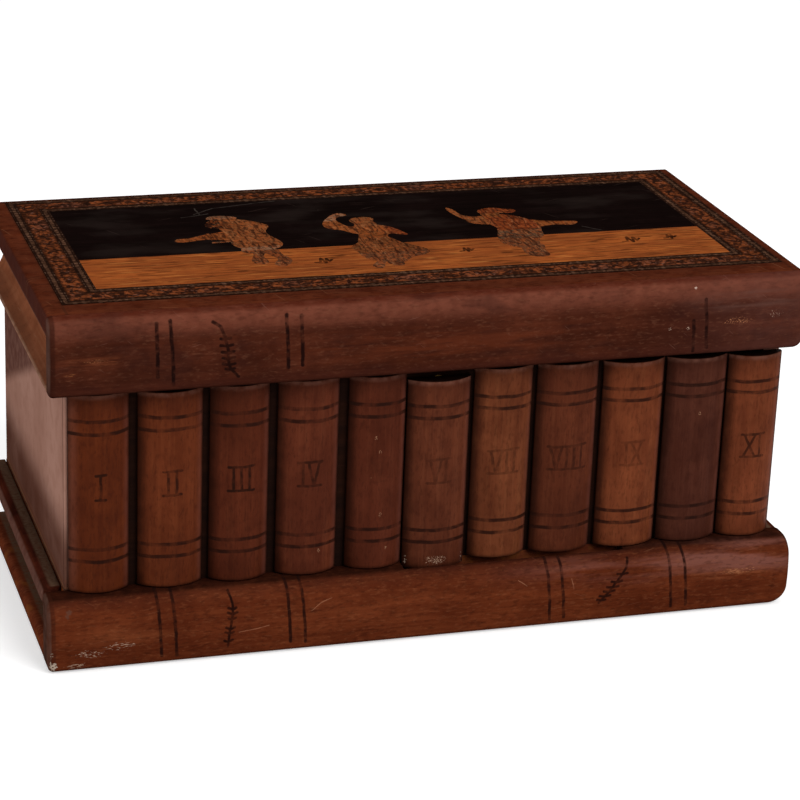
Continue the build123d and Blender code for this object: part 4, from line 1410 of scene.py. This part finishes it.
        # varnished walnut, browner than the base, with a painted highlight on the crest and dark
        # streaks
        finish = Wood(
            "varnished_walnut_lid_spine", Tone("#2a100a", "#462014", "#623424"), Way.X, 47.0,
            figure=8.0, contrast=0.45, rough=0.44, specular=0.0, streak=0.22, pores=0.3,
            marks=marks,
        ).build()
        rubbed("lid_spine", "lid", COVER_SLOT, finish, self.spine_edge)


# ------------------------------------------------------------ inlaid picture


@dataclass(frozen=True)
class Border:
    """The inlaid frame of the picture: two checked lines with a scroll band between."""

    half: float = 120.6   # outer edge from the middle, along X
    front: float = -49.5  # outer edge at the front
    back: float = 60.9    # and at the back
    line: float = 3.2     # width of a line
    band: float = 6.8     # width of the band
    check: float = 2.6    # length of a dark and a pale check
    scroll: float = 15.0  # length of one full swing of the vine

    def inward(self, graph: Surface) -> Tuple[Socket, Socket]:
        """Gives the distance in from the outer edge, and the way along the ring.

        Args:
            graph: The material's nodes.

        Returns:
            Distance and way, both in millimetres.
        """
        add = graph.add
        middle, reach = (self.front + self.back) / 2, (self.back - self.front) / 2
        across = add("Math", {0: graph.along[Way.X]}, operation="ABSOLUTE")
        across = add("Math", {0: across, 1: self.half}, operation="SUBTRACT")
        deep = add("Math", {0: graph.along[Way.Y], 1: middle}, operation="SUBTRACT")
        deep = add("Math", {0: deep}, operation="ABSOLUTE")
        deep = add("Math", {0: deep, 1: reach}, operation="SUBTRACT")
        outer = add("Math", {0: across, 1: deep}, operation="MAXIMUM")
        at_end = add("Math", {0: across, 1: deep}, operation="GREATER_THAN")
        way = add("Mix", {0: at_end, 2: graph.along[Way.X], 3: graph.along[Way.Y]})
        return add("Math", {0: outer, 1: -1.0}, operation="MULTIPLY"), way

    def rule(self, title: str, start: float) -> bpy.types.Material:
        """Makes a line of dark, checked and dark strips.

        Ebonised pear and pale boxwood veneers glued side by side: the eye
        sees two thin dark rules with a broken pale one between them.

        Args:
            title: Name of the material.
            start: How far in from the border's outer edge the line begins.

        Returns:
            The finished material.
        """
        graph = Surface(title)
        add = graph.add
        depth, way = self.inward(graph)
        across = add("Math", {0: depth, 1: start + self.line / 2}, operation="SUBTRACT")
        across = add("Math", {0: across}, operation="ABSOLUTE")
        turn = add("Math", {0: way, 1: 2 * math.pi / self.check}, operation="MULTIPLY")
        turn = add("Math", {0: turn}, operation="SINE")
        checks = add("MapRange", {0: turn, 1: -0.8, 2: 0.8}, **SOFT)
        cloud = graph.clouds(4.0, seed=start, detail=3.0)
        cloud = add("MapRange", {0: cloud, 1: 0.42, 2: 0.66, 4: 0.8}, **SOFT)
        checks = add("Math", {0: checks, 1: cloud}, operation="MULTIPLY")
        fibres = graph.clouds(0.8, seed=start + 1, detail=3.0)
        skin = Skin.bare(graph, checks, ("#3c261a", "#5c4030"), fibres, (0.45, 0.6),
                         FIBRE_HEIGHT)
        Mottle(1.2, "#6b4a38", 0.52, 0.66, 0.7, start + 3).lay(skin)
        Mottle(1.6, "#1d110c", 0.52, 0.62, 0.8, start + 5).lay(skin)
        # the dark strips, with an uneven edge
        uneven = graph.clouds(1.4, seed=start + 8, detail=3.0)
        uneven = add("Math", {0: uneven, 1: 1.1, 2: -0.55}, operation="MULTIPLY_ADD")
        edge = add("Math", {0: across, 1: uneven}, operation="ADD")
        skin.tint(add("MapRange", {0: edge, 1: 0.45, 2: 0.75, 4: 0.95}, **SOFT), "#1b0e09",
                  dent=0.04)
        # a broken hairline in the middle of each dark strip
        thin = add("Math", {0: across, 1: 1.25}, operation="SUBTRACT")
        thin = add("Math", {0: thin}, operation="ABSOLUTE")
        thin = add("MapRange", {0: thin, 1: 0.1, 2: 0.3, 3: 0.6, 4: 0.0}, **SOFT)
        thin = add("Math", {0: thin, 1: checks}, operation="MULTIPLY")
        skin.tint(thin, "#6b4e3e")
        Specks(9.0, 0.3, "#a99a8c", 0.6, 0.2, seed=start).lay(skin)
        return skin.close(Specular_IOR_Level=0.0)

    def scrolls(self) -> bpy.types.Material:
        """Makes the band: a dark scrolling vine with leaves on orange wood.

        Olive veneer, scorched with hot sand and drawn on with a needle: a
        warm orange ground that browns at its edges under a dark vine.

        Returns:
            The finished material.
        """
        graph = Surface("scorched_olive_scroll_band")
        add = graph.add
        depth, way = self.inward(graph)
        across = add("Math", {0: depth, 1: self.line + self.band / 2}, operation="SUBTRACT")
        fibres = graph.clouds(0.6, (3, 3, 1), 3.0, 4.0)
        mask = add("MapRange", {0: fibres, 1: 0.35, 2: 0.65}, **SOFT)
        skin = Skin.bare(graph, mask, ("#562a15", "#7c4022"), fibres, (0.5, 0.62),
                         FIBRE_HEIGHT)
        Mottle(9.0, "#34190f", 0.50, 0.72, 0.7, 6.0).lay(skin)
        Mottle(14.0, "#6a4336", 0.52, 0.70, 0.4, 9.0, detail=2.0).lay(skin)
        # the stem swings from side to side of the band
        wobble = add("Math", {0: graph.clouds(6.0, seed=2.0), 1: 3.0}, operation="MULTIPLY")
        turn = add("Math", {0: way, 1: 2 * math.pi / self.scroll}, operation="MULTIPLY")
        turn = add("Math", {0: turn, 1: wobble}, operation="ADD")
        wave = add("Math", {0: turn}, operation="SINE")
        stem = add("Math", {0: wave, 1: -1.7, 2: across}, operation="MULTIPLY_ADD")
        stem = add("Math", {0: stem}, operation="ABSOLUTE")
        stem = add("MapRange", {0: stem, 1: 0.35, 2: 0.65, 3: 1.0, 4: 0.0}, **SOFT)
        worn = graph.clouds(2.5, seed=21.0, detail=3.0)
        worn = add("MapRange", {0: worn, 1: 0.40, 2: 0.55, 3: 0.15, 4: 0.9}, **SOFT)
        stem = add("Math", {0: stem, 1: worn}, operation="MULTIPLY")
        skin.tint(stem, "#20110c", dent=BURN_DEPTH)
        # a leaf stands in each bow of the stem
        leaf = add("Math", {0: turn, 1: 2.0}, operation="MULTIPLY")
        leaf = add("Math", {0: leaf}, operation="COSINE")
        leaf = add("MapRange", {0: leaf, 1: -0.1, 2: 0.9}, **SOFT)
        side = add("Math", {0: wave, 1: 1.9, 2: across}, operation="MULTIPLY_ADD")
        side = add("Math", {0: side}, operation="ABSOLUTE")
        side = add("Math", {0: side, 1: 0.55}, operation="MULTIPLY")
        leaf = add("Math", {0: leaf, 1: side}, operation="SUBTRACT")
        leaf = add("MapRange", {0: leaf, 1: 0.1, 2: 0.35, 4: 0.8}, **SOFT)
        skin.tint(leaf, "#2a1710", dent=0.04)
        Mottle(1.6, "#1f100b", 0.50, 0.60, 0.85, 12.0, detail=2.0).lay(skin)
        Mottle(2.8, "#20110b", 0.50, 0.58, 0.8, 17.0).lay(skin)
        Mottle(1.3, "#7d5344", 0.60, 0.70, 0.55, 5.0).lay(skin)
        rim, reach = add("Math", {0: across}, operation="ABSOLUTE"), self.band / 2
        rim = add("MapRange", {0: rim, 1: reach - 1.2, 2: reach - 0.1, 4: 0.75}, **SOFT)
        skin.tint(rim, "#231109")
        return skin.close(Specular_IOR_Level=0.0)

    def build(self) -> None:
        """Dresses the three rings."""
        dress(self.rule("boxwood_and_pear_outer_line", 0.0), "inlay_line_outer")
        dress(self.scrolls(), "inlay_band")
        inner = self.rule("boxwood_and_pear_inner_line", self.line + self.band)
        dress(inner, "inlay_line_inner")


def above(y: float) -> Segment:
    """Gives a line whose left side is everything beyond y."""
    return (-FAR, y), (FAR, y)


def below(y: float) -> Segment:
    """Gives a line whose left side is everything short of y."""
    return (FAR, y), (-FAR, y)


def right_of(x: float) -> Segment:
    """Gives a line whose left side is everything to the right of x."""
    return (x, FAR), (x, -FAR)


def left_of(x: float) -> Segment:
    """Gives a line whose left side is everything to the left of x."""
    return (x, -FAR), (x, FAR)


class Veneer(Enum):
    """The woods that the dancers are cut from."""

    OLIVE = Tone("#512b15", "#7a4425", "#9a653c")
    PEAR = Tone("#522913", "#7c411e", "#995a31")
    BOXWOOD = Tone("#5c3d2c", "#805a42", "#9c7858")
    CHERRY = Tone("#50200f", "#733319", "#8f4c2a")
    SCORCHED = Tone("#3a1f13", "#5f3722", "#80553a")
    EBONISED = Tone("#0d0706", "#150c0a", "#2a1c17")
    GREY_MAPLE = Tone("#3b281c", "#593e2c", "#7a5c46")


@dataclass(frozen=True)
class Zone:
    """A part of a dancer cut from one wood: it lies on one side of each line."""

    veneer: Veneer
    lines: Tuple[Segment, ...]

    def holds(self, place: Vector) -> bool:
        """Tells whether a point in millimetres lies left of every line."""
        return all(
            (x1 - x0) * (place.y - y0) - (y1 - y0) * (place.x - x0) > 0
            for (x0, y0), (x1, y1) in self.lines
        )


@dataclass(frozen=True)
class Dancer:
    """One dancer of the picture: the outline, its woods and its needle lines."""

    node: str
    slot: str
    ground: Veneer
    zones: Tuple[Zone, ...]
    lines: Tuple[Segment, ...]
    seed: float = 0.0

    def finish(self, veneer: Veneer) -> bpy.types.Material:
        """Makes one wood of this dancer, with the needle lines over it.

        Thin veneer, shaded in hot sand and hatched with a needle: the eye sees
        its own colour broken by fine brown strokes.

        Args:
            veneer: The wood.

        Returns:
            The finished material.
        """
        return Wood(
            f"{veneer.name.lower()}_veneer_{self.node}", veneer.value, Way.X, 60 + self.seed,
            figure=3.0, fibre=0.35, contrast=0.4, rough=0.6, specular=0.0,
            marks=(
                Mottle(1.6, "#8a4420", 0.46, 0.60, 0.6, self.seed + 5),
                Mottle(0.9, "#a8734c", 0.52, 0.70, 0.3, self.seed + 7, (1, 4, 1)),
                Mottle(1.1, "#2c150d", 0.49, 0.62, 0.75, self.seed, (1, 6, 1)),
                Strokes(TOP_PLANE, self.lines, 0.12, "#2a140c", soft=0.22, strength=0.7,
                        patchy=0.8, waver=0.7, seed=self.seed),
                Mottle(1.4, "#20100b", 0.56, 0.64, 0.7, self.seed + 3),
            ),
        ).build()

    def build(self) -> None:
        """Cuts the figure along its zones and gives each its wood."""
        shape = merged(self.node)
        for zone in self.zones:
            for (x0, y0), (x1, y1) in zone.lines:
                bmesh.ops.bisect_plane(
                    shape, geom=shape.verts[:] + shape.edges[:] + shape.faces[:], dist=CUT_WITHIN,
                    plane_co=Vector((x0, y0, 0)) * MM,
                    plane_no=Vector((y1 - y0, x0 - x1, 0)).normalized(),
                )
        veneers = [self.ground] + [zone.veneer for zone in self.zones]
        for face in shape.faces:
            place = face.calc_center_median() / MM
            for number, zone in enumerate(self.zones, start=1):
                if zone.holds(place):
                    face.material_index = number
        finishes = [self.finish(veneer) for veneer in veneers]
        shown(shape, f"{self.node}_veneers", "lid", self.slot, finishes, [self.node])


LEFT_DANCER = Dancer(
    node="inlay_dancer_left", slot="inlay_cream", ground=Veneer.OLIVE, seed=1.0,
    zones=(
        Zone(Veneer.BOXWOOD, (above(29.2),)),
        Zone(Veneer.EBONISED, (below(29.2), above(18.9), left_of(-53.4))),
        Zone(Veneer.PEAR, (below(18.9), above(5.6), left_of(-54.4))),
        Zone(Veneer.GREY_MAPLE, (below(5.6), above(1.0), left_of(-54.0))),
        Zone(Veneer.BOXWOOD, (below(-2.6), above(-6.4))),
        Zone(Veneer.BOXWOOD, (below(-6.4), above(-12.0), left_of(-49.6))),
        Zone(Veneer.SCORCHED, (below(-6.4),)),
    ),
    lines=(
        ((-60.9, 13.6), (-60.4, 7.4)), ((-59.6, 13.8), (-59.2, 7.4)), ((-53.4, 27), (-53.8, 18)),
        ((-52.6, 26), (-46.4, 25)), ((-51, 24.6), (-42, 18)), ((-52, 21), (-45, 4)),
        ((-49, 24), (-42.6, 3)), ((-45, 25), (-40.8, 9)), ((-53, 15), (-47, 12)),
        ((-53, 9), (-47.4, 6)), ((-50, 18), (-43, 15)), ((-50, 10), (-42, 7.4)),
        ((-54, 1), (-39.4, 1.6)), ((-53.4, -2.4), (-38.6, -2.4)), ((-50, 1), (-49, -5)),
        ((-46, 1), (-45.4, -5)), ((-42.4, 1), (-41.6, -4)), ((-50.6, -8), (-50.8, -15)),
        ((-52, -17), (-48, -17.6)), ((-45, -9), (-43.6, -15)), ((-45, -20), (-41, -18)),
        ((-57.6, 23.6), (-56.8, 22.6)),
    ),
)
MIDDLE_DANCER = Dancer(
    node="inlay_dancer_middle", slot="inlay_cream", ground=Veneer.PEAR, seed=2.0,
    zones=(
        Zone(Veneer.BOXWOOD, (above(20.6), left_of(-9.2))),
        Zone(Veneer.OLIVE, (above(12.6), right_of(-9.2))),
        Zone(Veneer.CHERRY, (below(12.6), above(0.4), right_of(0.6))),
        Zone(Veneer.OLIVE, (below(0.4), above(-15.4))),
        Zone(Veneer.SCORCHED, (below(-15.4),)),
    ),
    lines=(
        ((-9, 20.4), (-1, 21.2)), ((-6.6, 19.4), (-5.6, 18.8)), ((-4.2, 19.2), (-3.4, 18.8)),
        ((-8, 13), (-2, 14)), ((-16.8, 22), (-14, 20)), ((-18.6, 15), (-14, 16)),
        ((-13.4, 13.4), (-12.6, 7)), ((-8.6, 12), (-4, 4)), ((-1.4, 12), (-4.6, 4)),
        ((-10.6, 1.8), (-1, 2)), ((-9.8, 1), (-14, -16)), ((-8, 1), (-11, -19)),
        ((-6.4, 1), (-8.2, -22)), ((-4.8, 1), (-5.4, -25)), ((-3.4, 1), (-2.4, -24)),
        ((-2.2, 0), (1, -20)), ((-1.2, -1.4), (4, -18)), ((-15.4, -12), (-4, -17)),
        ((-4, -17), (6, -13.4)), ((-13, -6), (2, -7.4)), ((2.6, 8), (4.6, 4)),
        ((-14.6, -19), (-5, -23)),
    ),
)
RIGHT_DANCER = Dancer(
    node="inlay_dancer_right", slot="inlay_red_brown", ground=Veneer.CHERRY, seed=3.0,
    zones=(
        Zone(Veneer.CHERRY, (above(20.2), right_of(36.6))),
        Zone(Veneer.PEAR, (below(20.2), above(15.4), right_of(36.6), left_of(44.6))),
        Zone(Veneer.OLIVE, (left_of(37.8), above(6.6))),
        Zone(Veneer.PEAR, (right_of(53.4), above(1.4))),
        Zone(Veneer.GREY_MAPLE, (below(0.6), above(-9.0))),
        Zone(Veneer.SCORCHED, (below(-9.0),)),
    ),
    lines=(
        ((37.8, 20.4), (51, 20.8)), ((41, 25.6), (42.6, 20.8)), ((45, 25.4), (46, 20.6)),
        ((40.4, 18.2), (41.4, 17.8)), ((37.8, 16.8), (37.6, 8)), ((34, 16.6), (35, 9)),
        ((39, 16), (45, 1)), ((47, 17), (45, 1)), ((41.6, 16.4), (47.6, 14)),
        ((50.4, 13), (49, 1)), ((43, 9), (52, 6.4)), ((53.4, 9), (53.2, 2.6)),
        ((38, 0.8), (53.4, 0.8)), ((39.6, 0), (37, -12)), ((42, 0), (40.4, -17)),
        ((44.6, 0), (44.4, -18)), ((47, 0), (47.8, -13)), ((49.6, 0), (51, -7)),
        ((36, -9), (49, -8.6)), ((41.6, -16), (42.4, -26)), ((44.6, -16), (45.4, -26)),
        ((59, 7.2), (60, 4.2)),
    ),
)

SKY_SCORES: Tuple[Segment, ...] = (
    ((-60.0, 36.0), (-52.0, 42.0)), ((-52.0, 42.0), (-29.0, 47.0)), ((68.0, 0.0), (73.0, -5.0)),
    ((-65.0, 33.0), (-55.0, 36.0)), ((-58.0, 43.0), (-58.0, 36.0)),
)
TUFTS: Tuple[Point3, ...] = (
    (-29.5, -21.5, 0.9), (20.5, -18.5, 0.75), (79.1, -17.7, 1.0), (93.6, -16.8, 0.7),
)
TUFT: Tuple[Point2, ...] = (
    (-3.4, -1.2), (-1.6, -1.0), (-0.4, 3.4), (0.2, -2.2), (1.6, 3.0), (1.9, -0.6), (3.4, 1.4),
)


@dataclass(frozen=True)
class Picture:
    """The inlaid scene: night sky, pale ground with tufts, and three dancers."""

    dancers: Tuple[Dancer, ...] = (LEFT_DANCER, MIDDLE_DANCER, RIGHT_DANCER)
    scores: Tuple[Segment, ...] = SKY_SCORES  # pale scores in the sky
    tufts: Tuple[Point3, ...] = TUFTS         # X, Y and size of each tuft
    blade: Tuple[Point2, ...] = TUFT          # zigzag of a tuft of size one

    def build(self) -> None:
        """Dresses the sky and the ground and cuts the dancers."""
        # pear stained black: nearly flat, with grey clouds of wear in the varnish
        sky = Wood(
            "ebonised_pear_night_sky", Tone("#0b0605", "#110908", "#1e1210", "#070403"), Way.X,
            51.0, figure=9.0, contrast=0.6, rough=0.7, specular=0.0,
            marks=(
                Mottle(16.0, "#241c19", 0.48, 0.72, 0.5, 4.0, (2, 1, 1)),
                Scratches(TOP_PLANE, (8, -24, 61), "#3a2c27", 0.5, 16.0, 0.2, 0.81, 2.0),
                Strokes(TOP_PLANE, self.scores, 0.08, "#4d443e", soft=0.3, strength=0.5,
                        patchy=0.6, waver=0.3, seed=6),
                Specks(15.0, 0.3, "#bcb0a4", 0.8, 0.14, seed=2),
                Specks(7.0, 0.2, "#6d5c52", 0.6, 0.22, seed=5),
            ),
        ).build()
        dress(sky, "inlay_night_sky")
        blades: List[Segment] = []
        for x, y, size in self.tufts:
            for (x0, y0), (x1, y1) in zip(self.blade, self.blade[1:]):
                blades.append(((x + size * x0, y + size * y0), (x + size * x1, y + size * y1)))
        # olive veneer along the grain: orange, with brown lines and short dark pores
        ground = Wood(
            "olive_veneer_pale_ground", Tone("#70371a", "#8e4820", "#a8612b", "#4d2612"), Way.X,
            53.0, figure=4.5, fibre=0.5, contrast=0.6, streak=0.5, pores=0.6, rough=0.6,
            specular=0.0,
            marks=(
                Scratches(TOP_PLANE, (0, 1.5, -1.5), "#4a2410", 0.8, 12.0, 0.32, 0.68, 4.0),
                Mottle(1.2, "#b8743a", 0.56, 0.70, 0.5, 14.0, (12, 1, 1)),
                Strokes(TOP_PLANE, tuple(blades), 0.34, "#1f0e08", strength=0.95, seed=3),
                Specks(18.0, 0.3, "#d0bca5", 0.6, 0.12, seed=8),
            ),
        ).build()
        dress(ground, "inlay_ground")
        for dancer in self.dancers:
            dancer.build()
        Border().build()


# ------------------------------------------------------------------- hardware


@dataclass(frozen=True)
class Hardware:
    """Hinges, lock, keyhole plate and key."""

    def build(self) -> None:
        """Dresses each metal piece with brass, steel or iron."""
        # rolled brass: warm yellow where it is touched, brown with tarnish elsewhere
        brass = Metal("rolled_brass_tarnished", "#c39a55", "#6b5230", 0.36).build()
        # filed steel: a plain grey that has dulled in the dark
        steel = Metal("filed_steel_greyed", "#8f8b85", "#4c4742", 0.40, seed=3.0).build()
        # cast iron: nearly black, with a little shine on its rims
        iron = Metal("cast_iron_key_blackened", "#6a635c", "#2c2825", 0.45, seed=6.0).build()
        dress(
            brass, "keyhole_plate", "hinge_leaves_case", "hinge_leaves_lid",
            "hinge_screws_case", "hinge_screws_lid", "book_06_pin", "lid_strike_plate",
        )
        dress(steel, "lock_case", "lock_bolt", "hinge_pins")
        dress(iron, "key")


# ---------------------------------------------------------------------- stage


@dataclass(frozen=True)
class Stage:
    """Floor, lamps, backdrop and camera: everything that isn't the object."""

    eye: Point3 = (-0.26304, -0.85157, 0.39853)  # the camera's place, in metres
    yaw: float = 0.305                           # its turn to the right, in radians
    pitch: float = -0.362                        # its tilt up
    roll: float = 0.039                          # its turn about its own line of sight
    lens: float = 124.97                         # focal length, in millimetres
    sensor: float = 36.0                         # width of its sensor
    near: float = 0.05                           # nearest that it sees, in metres
    far: float = 20.0                            # and farthest
    target: Point3 = (0.0, 0.0, 0.05)            # what the lamps face
    floor: float = 3.0                           # half the floor's side, in metres
    card: float = 0.82                           # grey of the floor
    glow: float = 0.42                           # its own light, for the rays that see it
    fill: float = 0.40                           # strength of the world's light on the object

    def build(self) -> None:
        """Sets the stage up."""
        self.ground()
        self.backdrop()
        self.lamp("key_softbox", (0.7, -1.5, 1.4), 1.2, 32.0)
        self.lamp("side_softbox", (-1.6, -0.5, 0.9), 1.0, 9.0)
        self.lamp("top_softbox", (0.2, 0.3, 1.9), 1.4, 9.0)
        self.camera()

    def ground(self) -> None:
        """Lays a pale floor that looks white and keeps the object's shadow."""
        shape = bmesh.new()
        bmesh.ops.create_grid(shape, x_segments=1, y_segments=1, size=self.floor)
        mesh = bpy.data.meshes.new("floor")
        shape.to_mesh(mesh)
        shape.free()
        floor = bpy.data.objects.new("floor", mesh)
        bpy.context.scene.collection.objects.link(floor)
        # matt card, with a little glow so that it looks white under the soft lamps
        material = bpy.data.materials.new("pale_studio_floor")
        graph = Graph(material)
        add = graph.add
        glow = add("Math", {0: graph.seen(), 1: self.glow}, operation="MULTIPLY")
        matt = add("BsdfDiffuse", {"Color": (self.card, self.card, self.card, 1.0)})
        white = add("Emission", {"Color": (1.0, 1.0, 1.0, 1.0), "Strength": glow})
        graph.end(add("AddShader", {0: matt, 1: white}))
        mesh.materials.append(material)

    def backdrop(self) -> None:
        """Makes the world a soft even light that looks white itself."""
        world = bpy.data.worlds.new("studio")
        graph = Graph(world)
        level = graph.add("MapRange", {0: graph.seen(), 3: self.fill, 4: 1.0})
        graph.end(graph.add("Background", {"Strength": level}), "OutputWorld")
        bpy.context.scene.world = world

    def lamp(self, name: str, place: Point3, size: float, power: float) -> None:
        """Hangs a square soft lamp that faces the object.

        Args:
            name: Its name.
            place: Where it hangs, in metres.
            size: Side of the square in metres.
            power: Its power in watts.
        """
        light = bpy.data.lights.new(name, "AREA")
        light.size = size
        light.energy = power
        lamp = bpy.data.objects.new(name, light)
        lamp.location = place
        towards = Vector(self.target) - Vector(place)
        lamp.rotation_euler = towards.to_track_quat("-Z", "Y").to_euler()
        bpy.context.scene.collection.objects.link(lamp)

    def camera(self) -> None:
        """Stands the camera where the real one stood, from its yaw, pitch and roll."""
        look = Vector((
            math.sin(self.yaw) * math.cos(self.pitch),
            math.cos(self.yaw) * math.cos(self.pitch),
            math.sin(self.pitch),
        ))
        level = look.cross(Vector((0, 0, 1))).normalized()
        rise = level.cross(look)
        right = math.cos(self.roll) * level + math.sin(self.roll) * rise
        up = -math.sin(self.roll) * level + math.cos(self.roll) * rise
        turn = Matrix((right, up, -look)).transposed().to_4x4()
        data = bpy.data.cameras.new("camera")
        data.lens = self.lens
        data.sensor_width = self.sensor
        data.clip_start = self.near
        data.clip_end = self.far
        camera = bpy.data.objects.new("camera", data)
        camera.matrix_world = Matrix.Translation(Vector(self.eye)) @ turn
        bpy.context.scene.collection.objects.link(camera)
        bpy.context.scene.camera = camera


def main() -> None:
    """Builds the looks of every sub-assembly, then the stage."""
    logging.basicConfig(level=logging.INFO, format="%(name)s %(message)s")
    for part in (LowerBook(), BookRow(), Case(), Lid(), Picture(), Hardware()):
        LOG.info("building %s", type(part).__name__)
        part.build()
    Stage().build()
    bpy.context.scene.view_settings.view_transform = "Standard"


if __name__ == "__main__":
    main()
